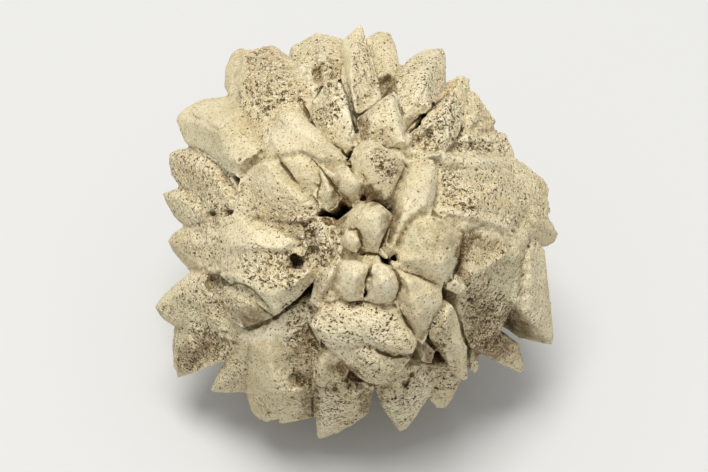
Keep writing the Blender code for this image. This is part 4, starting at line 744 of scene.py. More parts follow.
    14.6,-22,-0.9 | 18.2,-15.6,0.5 17.8,-19.6,0.7 17.4,-22.8,0.1 | 19.4,-19.6,-0.5 21,-22.8,0.5
    21.6,-26.8,0.3
lip crystal | -27.6,0.8,-0.3 -24.6,2,-0.1 -21,2.8,-0.1 -17.4,2,0 -14.2,0.8,-0.2 -11,-1.2,-0.4
    -9.8,-3.6,-0.6 -7,-7.6,-0.5 -10.2,-12.8,-0.9 -13.4,-15.4,-1 -15.8,-17.4,-1 -18.6,-14,-0.6
    -22.2,-11.6,-0.6 -25.8,-10.8,-0.6 -27.8,-8.8,-0.6 -27.4,-5.2,-0.3 | -25.8,-1.8,0.4 -23,-2.8,0.7
    -20.6,-2.2,0.8 -18.4,-2.8,0.8 -15.8,-3.2,0.7 -13,-2.2,0.4 | -25.4,-2.8,0.3 -23,-3.6,0.5
    -20.6,-3.2,0.6 -18.2,-4,0.5 -15.8,-4.4,0.3 -12.6,-4,-0.4 | -25.4,-4.8,0.3 -22.6,-6,0.5
    -21,-8.4,0.5 | -26.6,-7.6,0.4 -23.8,-9.6,0.7 -19.8,-11.6,0.9 -16.6,-12.8,1 -13,-10.8,1.2
    -10,-8.8,1 -8.2,-7.2,0.4 | -17.8,-13.6,0.7 -16.2,-16,0
green crystal | -25.8,-11,-0.2 -22.2,-11.6,-0.1 -18.6,-14,-0.2 -15.8,-17.4,-0.5 -18.6,-18.8,-0.9
    -21,-19.8,-1 -23.8,-18.4,-0.9 -25.8,-16,-0.6 -26.8,-13.2,-0.3 | -24.8,-15.4,0.5 -23,-14.8,0.8
    -21,-14.4,0.9 -18.6,-15.8,0.6 -16.6,-17.2,-0.2
saddle | -10.2,2,-0.3 -7.4,2.8,-0.4 -5,2.4,-0.6 -4.2,0,-0.6 -3.4,-3.2,-0.6 -4.2,-6,-0.4
    -6.6,-7.2,-0.4 -9,-5.2,-0.7 -9.8,-2.4,-0.6 | -6.6,0.8,0.5 -5.6,-2.4,0.6 -6.2,-5.2,0.2 |
    -8.6,0,-0.4 -8.4,-3.6,-0.7
fan wedge | -4.2,-6,0.1 -2.8,-5.2,0.3 -3,-8,-0.4 -4.8,-11.6,-0.5 -6.2,-14,-0.6 -9.4,-15.6,-0.4
    -10.6,-14,-0.3 -7,-8.8,-0.4 | -3.8,-6.4,0.7 -5.8,-10.4,0.5 -7.8,-13.6,0.1
east hollow | 21.6,-0.4,-0.9 25,0.8,-0.6 30,-0.6,-0.4 33.4,-3.2,0.1 33.2,-7.2,0.3 32.8,-11.2,0.3
    31,-14.4,0.2 29.4,-16,0.2 29,-19.6,0.2 27.2,-21.8,0.1 23,-23,-0.4 21.4,-17.2,-0.9
    22.2,-13.6,-0.7 20,-8,-0.9 21,-4,-1.1 | 21.6,-10,-0.4 25.4,-7.6,0.5 29.4,-5.2,0.7 32.8,-4.4,0.5
    | 23,-2.8,-1.3 27,-3.6,-0.9 30.6,-2.6,-0.5 | 23.4,-14.4,-1 26.2,-17.2,-0.9 29,-14.8,-0.2
east lip | 15,3.6,-0.4 16.4,5.6,-0.2 23,4.6,-0.1 29.6,3.4,-0.1 35.2,0,-0.1 35,-2.8,-0.1 30,-0.6,-0.4
    25,0.6,-0.6 21.6,-0.4,-0.7 18.4,2.2,-0.6 | 17.4,4.2,0.6 23,3,0.9 29,1.6,0.9 34.2,-1.2,0.5
east crest | 11.4,14.8,-0.4 15.8,16.4,-0.3 23,16.6,-0.2 31.4,15.4,-0.3 32.2,12.8,0 25,12.4,-0.1
    17.8,12,-0.3 16.6,13.8,-0.1 | 13,14.8,0.4 17,15.4,0.7 23,15.4,0.8 30.2,14.2,0.4
""")]


@dataclass(frozen=True)
class Crown:
    """The side of the cluster that faces up and forward, and the frame it is measured in.

    Args:
        heart: where the crystals start, in metres.
        tilt: the crown's axis above the horizontal, in radians.
        sight: the distance from which the crown is sighted, in metres.
        back: how far out of the heart the crown ends, in millimetres.
        fade: over how much further out its marks and relief come in, in millimetres.
    """

    heart: Vector = Vector((-0.095, -0.243, 37.0)) * MM
    tilt: float = math.radians(50)
    sight: float = 0.393
    back: float = -6.0
    fade: float = 4.0

    @property
    def across(self) -> Vector:
        """To the right of the one who looks at the crown."""
        return Vector((1, 0, 0))

    @property
    def up(self) -> Vector:
        """Up the crown."""
        return Vector((0, math.sin(self.tilt), math.cos(self.tilt)))

    @property
    def out(self) -> Vector:
        """Out of the crown, towards the one who looks at it."""
        return Vector((0, -math.cos(self.tilt), math.sin(self.tilt)))

    @property
    def eye(self) -> Vector:
        """The place from which the crown is sighted."""
        return self.heart + self.out * self.sight

    def share(self, out: np.ndarray) -> np.ndarray:
        """How much places belong to the crown, from 0 to 1, by their distance out of the heart."""
        return np.clip((out - self.back) / self.fade, 0, 1)

    def sighted(self, points: np.ndarray) -> Places:
        """Finds where points appear on the crown.

        Args:
            points: the points, in metres and one a row.

        Returns:
            Their places.
        """
        arm = points - np.array(self.heart)
        out = arm @ np.array(self.out)
        nearer = self.sight / (self.sight - out)
        across = arm @ np.array(self.across) * nearer
        up = arm @ np.array(self.up) * nearer
        return Places(across / MM, up / MM, out / MM)

    def spot(self, across: float, up: float, out: float) -> Vector:
        """A place on the crown.

        Args:
            across: how far across it appears, in millimetres.
            up: how far up it appears.
            out: its distance out of the heart.

        Returns:
            The place, in metres.
        """
        nearer = 1 - out * MM / self.sight
        return self.heart + ((self.across * across + self.up * up) * nearer + self.out * out) * MM

    def depth(self, tree: BVHTree, across: float, up: float) -> float:
        """How far out of the heart the stone's face lies at a spot, in millimetres."""
        hit = tree.ray_cast(self.eye, (self.spot(across, up, 0) - self.eye).normalized())[0]
        return (hit - self.heart).dot(self.out) / MM if hit else math.nan


@dataclass(frozen=True)
class Pores:
    """Pores of one size.

    Args:
        spacing: the distance between two places for a pore, in millimetres.
        widest: the radius of the widest pores, as a share of the spacing.
        eaten: the share of the places that hold a pore where the stone is most eaten.
        sound: the share of them where it is sound.
        narrowest: the radius of the narrowest pores, as a share of the widest.
        floor: the share of its radius up to which a pore is fully deep.
    """

    spacing: float
    widest: float
    eaten: float
    sound: float = 0.0
    narrowest: float = 0.4
    floor: float = 0.55


@dataclass(frozen=True)
class NodeTree:
    """A node tree in the making: short calls that add a node, set it and wire it.

    Args:
        tree: the tree.
    """

    tree: bpy.types.NodeTree

    def add(self, kind: str, plugs: dict | None = None, **settings: object) -> bpy.types.Node:
        """Adds a node.

        Args:
            kind: the node's type.
            plugs: input sockets by name or number, each with a value or the socket that feeds it.
            settings: the node's own settings.

        Returns:
            The node.
        """
        node = self.tree.nodes.new(kind)
        for name, value in settings.items():
            setattr(node, name, value)
        for plug, value in (plugs or {}).items():
            if isinstance(value, bpy.types.NodeSocket):
                self.tree.links.new(value, node.inputs[plug])
            else:
                node.inputs[plug].default_value = value
        return node

    def math(self, operation: str, *values: object, clamp: bool = False) -> bpy.types.NodeSocket:
        """Adds a Math node.

        Args:
            operation: what it does.
            values: its inputs.
            clamp: whether the result stays between 0 and 1.

        Returns:
            The result's socket.
        """
        plugs = dict(enumerate(values))
        return self.add("ShaderNodeMath", plugs, operation=operation, use_clamp=clamp).outputs[0]

    def times(self, *values: object, clamp: bool = False) -> bpy.types.NodeSocket:
        """The product of two values."""
        return self.math("MULTIPLY", *values, clamp=clamp)

    def scaled(self, value: object, factor: float, offset: object, clamp: bool = False,
               ) -> bpy.types.NodeSocket:
        """A value times a factor, and an offset added."""
        return self.math("MULTIPLY_ADD", value, factor, offset, clamp=clamp)

    def most(self, *values: object) -> bpy.types.NodeSocket:
        """The greatest of some values."""
        return reduce(lambda first, second: self.math("MAXIMUM", first, second), values)

    def vector(self, operation: str, *values: object) -> bpy.types.NodeSocket:
        """Adds a Vector Math node.

        Args:
            operation: what it does.
            values: its inputs; SCALE takes the vector and the factor.

        Returns:
            The result's socket: the number of a product of two vectors, else the vector.
        """
        plugs = dict(enumerate(values))
        if operation == "SCALE":
            plugs = {0: values[0], "Scale": values[1]}
        node = self.add("ShaderNodeVectorMath", plugs, operation=operation)
        return node.outputs[1 if operation == "DOT_PRODUCT" else 0]

    def step(self, value: object, start: object, end: object, low: object = 0.0,
             high: object = 1.0) -> bpy.types.NodeSocket:
        """Adds a smooth step.

        Args:
            value: what is compared.
            start: where the step starts.
            end: where it ends.
            low: the result before it.
            high: the result after it.

        Returns:
            The result's socket.
        """
        plugs = {0: value, 1: start, 2: end, 3: low, 4: high}
        return self.add("ShaderNodeMapRange", plugs, interpolation_type="SMOOTHSTEP").outputs[0]

    def mix(self, share: object, first: object, second: object, kind: str = "RGBA",
            ) -> bpy.types.NodeSocket:
        """Adds a Mix node.

        Args:
            share: how much of the second there is.
            first: the first value.
            second: the second value.
            kind: RGBA or VECTOR.

        Returns:
            The result's socket.
        """
        first_plug, result = {"VECTOR": (4, 1), "RGBA": (6, 2)}[kind]
        plugs = {0: share, first_plug: first, first_plug + 1: second}
        return self.add("ShaderNodeMix", plugs, data_type=kind).outputs[result]

    def noise(self, place: object, grain: float, detail: float = 2.0, rough: float = 0.5,
              ) -> bpy.types.NodeSocket:
        """Adds a Noise Texture.

        Args:
            place: the coordinates, in metres.
            grain: the size of its blotches, in millimetres.
            detail: how many finer layers it has.
            rough: how strong those are.

        Returns:
            The socket of its number.
        """
        plugs = {"Vector": place, "Scale": 1 / (grain * MM), "Detail": detail, "Roughness": rough}
        return self.add("ShaderNodeTexNoise", plugs).outputs[0]

    def warped(self, place: object, grain: float, far: float) -> bpy.types.NodeSocket:
        """Bends coordinates.

        Args:
            place: the coordinates, in metres.
            grain: the size of the bends, in millimetres.
            far: how far they push, in millimetres.

        Returns:
            The bent coordinates' socket.
        """
        push = self.noise(place, grain, 1).node.outputs[1]
        push = self.vector("SUBTRACT", push, (0.5, 0.5, 0.5))
        return self.vector("ADD", place, self.vector("SCALE", push, far * MM))

    def pores(self, place: object, pores: Pores, eaten: object) -> bpy.types.NodeSocket:
        """Adds pores: some of the cells hold a hollow, each of another width.

        Args:
            place: the coordinates, in metres.
            pores: their size.
            eaten: how eaten the stone is, from 0 to 1.

        Returns:
            A socket that is 1 in a pore and 0 outside it.
        """
        cells = self.add("ShaderNodeTexVoronoi",
                         {"Vector": place, "Scale": 1 / (pores.spacing * MM)})
        chance = self.add("ShaderNodeSeparateXYZ", {0: cells.outputs["Color"]})
        share = self.scaled(eaten, pores.eaten, pores.sound)
        there = self.math("LESS_THAN", chance.outputs[0], share)
        radius = self.scaled(chance.outputs[1], pores.widest * (1 - pores.narrowest),
                             pores.widest * pores.narrowest)
        floor = self.times(radius, pores.floor)
        return self.times(self.step(cells.outputs["Distance"], floor, radius, 1.0, 0.0), there)


@dataclass(frozen=True)
class WeatheredCalcite:
    """The finish of the stone, with painted shade in pores, cracks, creases and hollows and painted
    highlight on edges and crests. Colours are linear.

    Args:
        cream: the stone's own colour.
        sand: its second tone.
        lime: where it is bleached, and painted light: the highlight on edges and crests and the light
            on some faces that lie in shade.
        ochre: where it is stained yellow-brown.
        moss: where it is grey-green.
        umber: the brown around the pores, in creases and of the fine dust, which in pores, creases,
            hollows and the dark soil patches is partly painted shade.
        earth: the dark of pores, pits and cracks, partly their soil and partly painted shade deep
            inside them.
        fleck: the bright grains.
        pores: the sizes of its pores, from wide to fine, each with how dark it is.
        gloss: the shader's specular level.
        relief: the height of the finest grain and pores, in millimetres.
    """

    cream: tuple = (0.685, 0.595, 0.37, 1)
    sand: tuple = (0.57, 0.475, 0.275, 1)
    lime: tuple = (0.78, 0.705, 0.5, 1)
    ochre: tuple = (0.48, 0.33, 0.13, 1)
    moss: tuple = (0.48, 0.45, 0.27, 1)
    umber: tuple = (0.165, 0.095, 0.026, 1)
    earth: tuple = (0.07, 0.034, 0.006, 1)
    fleck: tuple = (0.84, 0.775, 0.6, 1)
    pores: tuple = ((Pores(1.5, 0.22, 0.3), 1.0), (Pores(0.7, 0.34, 0.55, 0.01), 1.0),
                    (Pores(0.42, 0.42, 0.5, 0.03), 0.8))
    gloss: float = 0.25
    relief: float = 0.3

    def mark(self, tree: NodeTree, name: str) -> bpy.types.NodeSocket:
        """A mark that the weathering left on the mesh."""
        return tree.add("ShaderNodeAttribute", attribute_name=name).outputs["Fac"]

    def material(self) -> bpy.types.Material:
        """Builds the material.

        Returns:
            The material.
        """
        material = bpy.data.materials.new(SLOT)
        material.use_nodes = True
        tree = NodeTree(material.node_tree)
        shader = material.node_tree.nodes["Principled BSDF"]
        shader.inputs["Specular IOR Level"].default_value = self.gloss
        place = tree.add("ShaderNodeAttribute", attribute_name="grown").outputs["Vector"]
        ridge = self.mark(tree, "ridge")
        pore = self.pore_depth(tree, place, ridge)
        colour = self.stone_colour(tree, place, ridge)
        # Painted shade: pores, pits and cracks darken to brown and near black, partly their soil and
        # partly the shade deep inside them.
        colour = tree.mix(tree.times(tree.step(pore, 0.0, 0.5), 0.75), colour, self.umber)
        colour = tree.mix(tree.times(tree.step(pore, 0.35, 1.0), 0.9), colour, self.earth)
        grain = tree.noise(place, 0.35, 3, 0.65)
        height = tree.math("SUBTRACT", tree.times(grain, 0.6), pore)
        bump = tree.add("ShaderNodeBump",
                        {"Strength": 1.0, "Distance": self.relief * MM, "Height": height})
        for plug, source in (("Base Color", colour), ("Normal", bump.outputs[0]),
                             ("Roughness", tree.step(grain, 0.3, 0.7, 0.78, 0.92))):
            material.node_tree.links.new(source, shader.inputs[plug])
        return material

    def pore_depth(self, tree: NodeTree, place: object, ridge: object) -> bpy.types.NodeSocket:
        """How far a place lies in a pore, a pit or a crack.

        Args:
            tree: the material's tree.
            place: the coordinates.
            ridge: how far the place stands on an edge.

        Returns:
            A socket that is 0 on sound stone and 1 where it is deepest.
        """
        warped = tree.warped(place, 0.7, 0.9)
        eaten = tree.times(self.mark(tree, "porous"),
                           tree.step(tree.noise(place, 3.2, 2), 0.32, 0.62, 0.4, 1.0))
        eaten = tree.times(eaten, tree.step(ridge, 0.3, 0.9, 1.0, 0.2))
        holes = [tree.times(tree.pores(warped, pores, eaten), dark) for pores, dark in self.pores]
        sponge = tree.noise(place, 0.7, 3, 0.65)
        sponge = tree.step(tree.scaled(eaten, 0.13, 0.30), tree.math("SUBTRACT", sponge, 0.02),
                           tree.math("ADD", sponge, 0.04))
        crack = tree.step(self.mark(tree, "crack"), 0.2, 0.9, 0.0, 0.7)
        return tree.most(*holes, tree.times(sponge, 0.85), tree.times(self.mark(tree, "pit"), 0.8),
                         crack)

    def stone_colour(self, tree: NodeTree, place: object, ridge: object) -> bpy.types.NodeSocket:
        """The colour of the stone between the pores, with painted shade in dips, hollows and gaps and
        painted highlight on edges and crests.

        Args:
            tree: the material's tree.
            place: the coordinates.
            ridge: how far the place stands on an edge.

        Returns:
            The colour's socket.
        """
        broad = tree.noise(place, 9, 3, 0.55)
        colour = tree.mix(tree.step(broad, 0.38, 0.62), self.cream, self.sand)
        blotch = tree.step(tree.noise(place, 2.2, 4, 0.6), 0.36, 0.56, 0.45, 1.0)
        # Bleached, grey-green, stained and dark soil patches; the bleached ones are partly painted
        # light on faces in shade, the dark soil ones partly painted shade on faces turned from the
        # light and in gaps.
        for name, paint, strength in (("lime", self.lime, 0.9), ("moss", self.moss, 0.9),
                                      ("ochre", self.ochre, 0.8), ("earth", self.umber, 1.8)):
            share = tree.times(tree.times(self.mark(tree, name), strength), blotch, clamp=True)
            colour = tree.mix(share, colour, paint)
        # Painted shade, with some dirt, in dips and hollows, and painted highlight on crests.
        for name, paint, strength in (("dip", self.umber, 0.5), ("hollow", self.umber, 0.7),
                                      ("crest", self.lime, 0.45)):
            colour = tree.mix(tree.times(self.mark(tree, name), strength, clamp=True), colour,
                              paint)
        # Painted highlight on edges, partly their bleached wear.
        colour = tree.mix(tree.times(tree.step(ridge, 0.15, 0.9), 0.6), colour, self.lime)
        porous = self.mark(tree, "porous")
        mottle = tree.step(tree.noise(place, 1.3, 3, 0.65), 0.47, 0.33, 0.0, 0.4)
        mottle = tree.times(mottle, tree.math("ADD", porous, 0.35))
        colour = tree.mix(mottle, colour, self.ochre)
        dust = tree.step(tree.noise(place, 0.45, 3, 0.7), 0.48, 0.32, 0.0, 0.75)
        colour = tree.mix(dust, colour, self.umber)
        speck = tree.step(tree.noise(place, 0.3, 2, 0.6), 0.5, 0.64)
        clear_of_soil_and_shade = tree.scaled(self.mark(tree, "earth"), -0.5, 1.0, clamp=True)
        speck = tree.times(speck, tree.times(tree.scaled(porous, 0.6, 0.35), clear_of_soil_and_shade))
        return tree.mix(speck, colour, self.fleck)


@dataclass(frozen=True)
class Weathering:
    """How the weather wore the stone. Lengths are in millimetres.

    Args:
        finish: the stone's material.
        edge_passes: how often an edge is smoothed.
        face_passes: how often a face is smoothed.
        broad_passes: how often places are evened out to tell what stands proud of all around it.
        crease_from: a bend that stands less proud than this is smoothed as a face.
        crease_to: one that stands more proud than this is smoothed as an edge.
        swell: the height of the broad swells.
        grain_height: the height of the coarse grains.
        pit_depth: the depth of the pits.
        crack_depth: the depth of a crack of strength 1.
        seed: picks the part of the endless noise patterns that is used.
        wide_pits: the wide pits.
        small_pits: the small pits.
    """

    finish: bpy.types.Material
    edge_passes: int = 2
    face_passes: int = 8
    broad_passes: int = 80
    crease_from: float = 0.008
    crease_to: float = 0.03
    swell: float = 0.7
    grain_height: float = 0.5
    pit_depth: float = 0.7
    crack_depth: float = 0.45
    seed: float = 4.0
    wide_pits: Pores = Pores(1.6, 0.26, 0.25)
    small_pits: Pores = Pores(0.8, 0.36, 0.6)

    def inputs(self) -> dict[str, tuple[str, object]]:
        """Names the inputs of its tree.

        Returns:
            Each input's name with its type and its value; lengths are in metres.
        """
        return {
            "Edge passes": ("Int", self.edge_passes), "Face passes": ("Int", self.face_passes),
            "Broad passes": ("Int", self.broad_passes),
            "Crease from": ("Float", self.crease_from * MM),
            "Crease to": ("Float", self.crease_to * MM), "Swell": ("Float", self.swell * MM),
            "Grain height": ("Float", self.grain_height * MM),
            "Pit depth": ("Float", self.pit_depth * MM),
            "Crack depth": ("Float", self.crack_depth * MM), "Seed": ("Float", self.seed),
            "Finish": ("Material", self.finish),
        }

    def wear(self, stone: bpy.types.Object) -> None:
        """Wears the stone.

        Args:
            stone: the fine copy with its marks.
        """
        group = bpy.data.node_groups.new("weathering", "GeometryNodeTree")
        group.interface.new_socket("Geometry", in_out="OUTPUT", socket_type="NodeSocketGeometry")
        group.interface.new_socket("Geometry", in_out="INPUT", socket_type="NodeSocketGeometry")
        modifier = stone.modifiers.new("weathering", "NODES")
        plugs = {}
        for name, (kind, value) in self.inputs().items():
            plug = group.interface.new_socket(name, in_out="INPUT", socket_type="NodeSocket" + kind)
            plugs[plug.identifier] = value
        tree = NodeTree(group)
        given = tree.add("NodeGroupInput").outputs
        flow = self.soften(tree, given)
        flow = self.roughen(tree, given, flow)
        flow = tree.add("GeometryNodeSetShadeSmooth", {"Geometry": flow}).outputs[0]
        flow = tree.add("GeometryNodeRealizeInstances", {0: flow}).outputs[0]
        flow = tree.add("GeometryNodeSetMaterial",
                        {"Geometry": flow, "Material": given["Finish"]}).outputs[0]
        tree.add("NodeGroupOutput", {0: flow})
        modifier.node_group = group
        for identifier, value in plugs.items():
            modifier[identifier] = value
        settle(stone)

    def store(self, tree: NodeTree, flow: object, name: str, value: object, kind: str = "FLOAT",
              ) -> bpy.types.NodeSocket:
        """Writes a value as a mark on the mesh.

        Args:
            tree: the tree.
            flow: the geometry.
            name: the mark's name.
            value: its value.
            kind: FLOAT or FLOAT_VECTOR.

        Returns:
            The geometry with the mark.
        """
        return tree.add("GeometryNodeStoreNamedAttribute",
                        {"Geometry": flow, "Name": name, "Value": value}, data_type=kind).outputs[0]

    def soften(self, tree: NodeTree, given: object) -> bpy.types.NodeSocket:
        """Shallow creases melt away, and edges keep their place with a small round.

        Args:
            tree: the tree.
            given: its named inputs.

        Returns:
            The softened geometry, with the place of each point as its mark "grown".
        """
        place = tree.add("GeometryNodeInputPosition").outputs[0]
        normal = tree.add("GeometryNodeInputNormal").outputs[0]
        near, wide, broad = (
            tree.add("GeometryNodeBlurAttribute", {0: place, 1: given[passes]},
                     data_type="FLOAT_VECTOR").outputs[0]
            for passes in ("Edge passes", "Face passes", "Broad passes"))
        bend, sweep = (tree.vector("DOT_PRODUCT", tree.vector("SUBTRACT", place, even), normal)
                       for even in (wide, broad))
        keep = tree.step(tree.math("ABSOLUTE", bend), given["Crease from"], given["Crease to"])
        flow = given["Geometry"]
        # How far each place stands proud or sunk; with these marks the finish paints shade into
        # hollows and dips and highlight onto ridges and crests.
        for name, proud, full in (("ridge", bend, 0.3), ("hollow", bend, -0.3),
                                  ("crest", sweep, 1.2), ("dip", sweep, -1.2)):
            flow = self.store(tree, flow, name, tree.math("DIVIDE", proud, full * MM, clamp=True))
        soft = tree.mix(keep, wide, near, "VECTOR")
        flow = tree.add("GeometryNodeSetPosition", {"Geometry": flow, "Position": soft}).outputs[0]
        moved = tree.add("GeometryNodeInputPosition").outputs[0]
        return self.store(tree, flow, "grown", moved, "FLOAT_VECTOR")

    def roughen(self, tree: NodeTree, given: object, flow: object) -> bpy.types.NodeSocket:
        """Adds broad swells, coarse grain where it crumbled, pits where it is porous, and cracks.

        Args:
            tree: the tree.
            given: its named inputs.
            flow: the softened geometry.

        Returns:
            The geometry, with how far each point lies in a pit as its mark "pit".
        """
        place = tree.add("GeometryNodeInputPosition").outputs[0]
        seed = tree.add("ShaderNodeCombineXYZ", {0: given["Seed"]}).outputs[0]
        spot = tree.vector("ADD", place, tree.vector("SCALE", seed, 0.01))
        porous, granular, ridge, crack = (
            tree.add("GeometryNodeInputNamedAttribute", {"Name": name}).outputs[0]
            for name in ("porous", "granular", "ridge", "crack"))
        swell = tree.times(tree.math("SUBTRACT", tree.noise(spot, 3.0, 3, 0.55), 0.5),
                           given["Swell"])
        swell = tree.times(swell, tree.scaled(porous, 1.0, 0.35))
        lumps = tree.times(tree.math("SUBTRACT", tree.noise(spot, 1.1, 2, 0.6), 0.5),
                           given["Grain height"])
        lumps = tree.times(lumps, tree.scaled(porous, 0.7, tree.scaled(granular, 3.0, 0.3)))
        warped = tree.warped(spot, 1.2, 1.6)
        eaten = tree.times(porous, tree.step(tree.noise(spot, 4.0, 1), 0.4, 0.62, 0.15, 1.0))
        eaten = tree.times(eaten, tree.step(ridge, 0.2, 0.7, 1.0, 0.1))
        sponge = tree.noise(spot, 0.8, 2, 0.6)
        sponge = tree.step(tree.scaled(porous, 0.16, 0.28), sponge,
                           tree.math("ADD", sponge, 0.06))
        small = tree.most(tree.pores(warped, self.small_pits, eaten), sponge)
        pit = tree.most(tree.pores(warped, self.wide_pits, eaten), tree.times(small, 0.6))
        flow = self.store(tree, flow, "pit", pit)
        rise = tree.math("SUBTRACT", tree.math("ADD", swell, lumps),
                         tree.times(pit, given["Pit depth"]))
        rise = tree.math("SUBTRACT", rise, tree.times(crack, given["Crack depth"]))
        shift = tree.vector("SCALE", tree.add("GeometryNodeInputNormal").outputs[0], rise)
        return tree.add("GeometryNodeSetPosition", {"Geometry": flow, "Offset": shift}).outputs[0]


@dataclass(frozen=True)
class WornStone:
    """The stone itself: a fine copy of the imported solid, given relief, marked and cut in blocks.

    Args:
        crown: its crown.
        finish: its material.
        cell: the spacing of the fine copy's mesh, in millimetres.
        near_side: from this far out of the heart the mesh keeps that spacing, in millimetres.
        most_faces: how many triangles the whole stone may have before it is cut.
        gap: a corner of a filling this far below the highest hit a gap, in millimetres.
        miss: one this far off the face around the filling still counts, in millimetres.
        misses: so does one at this many times the usual distance off it.
        rounds: how often the plane of that face is laid anew without the corners that miss it.
        boldness: by how much the crystals' relief is drawn out.
        soft: how far a patch's border fades, in millimetres.
        ragged: how far it strays from its outline, in millimetres.
        sway: how far a crystal's edges stray from their lines, in millimetres.
        straight: how far a crack strays, as a share of what a patch's border does.
        taper: how wide and deep a crack is at its ends, as a share of its middle.
        porous: how porous a place is that no patch covers, from 0 to 1.
        far_porous: by how much more the far side is porous at most.
        crumbled: how porous a granular patch is.
        blocks: how many blocks the stone is cut into.
        reach: how far from a cut its new corners look for marks, in millimetres.
    """

    crown: Crown
    finish: bpy.types.Material
    cell: float = 0.26
    near_side: float = 8.0
    most_faces: int = 930_000
    gap: float = 3.0
    miss: float = 0.5
    misses: float = 2.5
    rounds: int = 3
    boldness: float = 2.1
    soft: float = 1.0
    ragged: float = 0.5
    sway: float = 0.15
    straight: float = 0.12
    taper: float = 0.3
    porous: float = 0.35
    far_porous: float = 0.5
    crumbled: float = 0.5
    blocks: int = 6
    reach: float = 0.6

    def fine_copy(self) -> bpy.types.Object:
        """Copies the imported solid, with its fillings, as an even, fine mesh.

        Returns:
            The copy.
        """
        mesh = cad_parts[NODE].data.copy()
        bm = bmesh.new()
        bm.from_mesh(mesh)
        bmesh.ops.remove_doubles(bm, verts=bm.verts, dist=0.001 * MM)
        self.fill(bm)
        bm.to_mesh(mesh)
        bm.free()
        mesh.materials.clear()
        stone = add_object("stone", mesh)
        self.even_out(stone)
        return stone

    def even_out(self, stone: bpy.types.Object) -> None:
        """Gives the stone an even, fine mesh of one skin.

        Args:
            stone: the stone.
        """
        remesh = stone.modifiers.new("even", "REMESH")
        remesh.mode = "VOXEL"
        remesh.voxel_size = self.cell * MM
        settle(stone)

    def fill(self, bm: bmesh.types.BMesh) -> None:
        """Puts a plug into each hollow and groove that is to be shallower.

        Args:
            bm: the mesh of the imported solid.
        """
        tree = BVHTree.FromBMesh(bm)
        for filling in FILLINGS:
            for outline in filling.outlines():
                outs = self.level(outline, tree) - filling.sunk
                tops = [bm.verts.new(self.crown.spot(*spot, out))
                        for spot, out in zip(outline, outs)]
                feet = [bm.verts.new(self.crown.spot(*spot, out - filling.thick))
                        for spot, out in zip(outline, outs)]
                faces = [bm.faces.new(tops), bm.faces.new(feet[::-1])]
                faces += [bm.faces.new((tops[step - 1], feet[step - 1], feet[step], tops[step]))
                          for step in range(len(tops))]
                bmesh.ops.recalc_face_normals(bm, faces=faces)

    def level(self, outline: list[Corner], tree: BVHTree) -> np.ndarray:
        """Lays a plane on the face around a hollow, whatever gap a corner happens to hit.

        Args:
            outline: the corners around the hollow, across and up.
            tree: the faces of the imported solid.

        Returns:
            How far out the plane lies at each corner, in millimetres.
        """
        outs = np.array([self.crown.depth(tree, *spot) for spot in outline])
        terms = np.column_stack([outline, np.ones(len(outline))])
        needed = terms.shape[1]
        third = np.sort(outs[np.isfinite(outs)])[-needed]
        good = outs >= min(third, np.nanmax(outs) - self.gap)
        for _ in range(self.rounds):
            plane = np.linalg.lstsq(terms[good], outs[good], rcond=None)[0]
            miss = np.abs(outs - terms @ plane)
            most = max(self.miss, np.nanmedian(miss[good]) * self.misses)
            closer = np.isfinite(miss) & (miss < most)
            if closer.sum() < needed:
                break
            good = closer
        return terms @ plane

    def lay_forms(self, stone: bpy.types.Object) -> None:
        """Gives each crystal of the crown the relief of its own faces.

        Args:
            stone: the fine copy.
        """
        points = read(stone.data.vertices, "co", 3).astype(float)
        places = self.crown.sighted(points)
        swayed = places.strayed(self.sway, (2.9, 1.7, 3.1, 1.9))
        rise = np.zeros(len(points))
        for form in FORMS:
            form.lay(swayed, rise)
            LOG.debug("relief of the %s", form.crystal)
        rise *= self.boldness * self.crown.share(places.out)
        toward = np.array(self.crown.eye) - points
        toward /= np.linalg.norm(toward, axis=1, keepdims=True)
        points += toward * (rise * MM)[:, None]
        stone.data.vertices.foreach_set("co", points.ravel())
        self.even_out(stone)

    def mark_faces(self, stone: bpy.types.Object) -> None:
        """Writes what the weather did to each place, and where light and shade are painted, as marks
        on the mesh.

        Args:
            stone: the fine copy.
        """
        places = self.crown.sighted(read(stone.data.vertices, "co", 3).astype(float))
        crowned = self.crown.share(places.out)
        waves = (1.9, 1.1, 2.1, 0.9)
        straight = places.strayed(self.ragged * self.straight, waves)
        ragged = places.strayed(self.ragged, waves)
        marks = {wear: np.zeros(len(crowned)) for wear in Wear}
        # Away from the crown it is eaten in broad patches
        patchy = (np.sin(0.31 * ragged.across + ragged.out * 0.2)
                  + np.sin(0.27 * ragged.up - 0.3 * ragged.out))
        marks[Wear.POROUS] += self.porous + self.far_porous * (0.5 + 0.25 * patchy) * (1 - crowned)
        for patch in PATCHES:
            near = ragged.boxed(np.array(patch.outline), self.soft, crowned > 0)
            depth = ragged[near].inside(patch.outline)
            share = np.clip(depth / self.soft + 0.5, 0, 1) * crowned[near]
            LOG.debug("%s on the %s", patch.wear.value, patch.face)
            if patch.wear is Wear.SMOOTH:
                marks[Wear.POROUS][near] *= 1 - share * patch.amount
                marks[Wear.GRANULAR][near] *= 1 - share
                continue
            mark = marks[patch.wear]
            mark[near] += (patch.amount - mark[near]) * share
            if patch.wear is Wear.GRANULAR:
                marks[Wear.POROUS][near] += (self.crumbled - marks[Wear.POROUS][near]) * share
        named = {wear.value: mark for wear, mark in marks.items() if wear is not Wear.SMOOTH}
        named["crack"] = self.crack_depths(straight, crowned)
        for name, mark in named.items():
            stone.data.attributes.new(name, "FLOAT", "POINT").data.foreach_set(
                "value", mark.astype(np.float32))

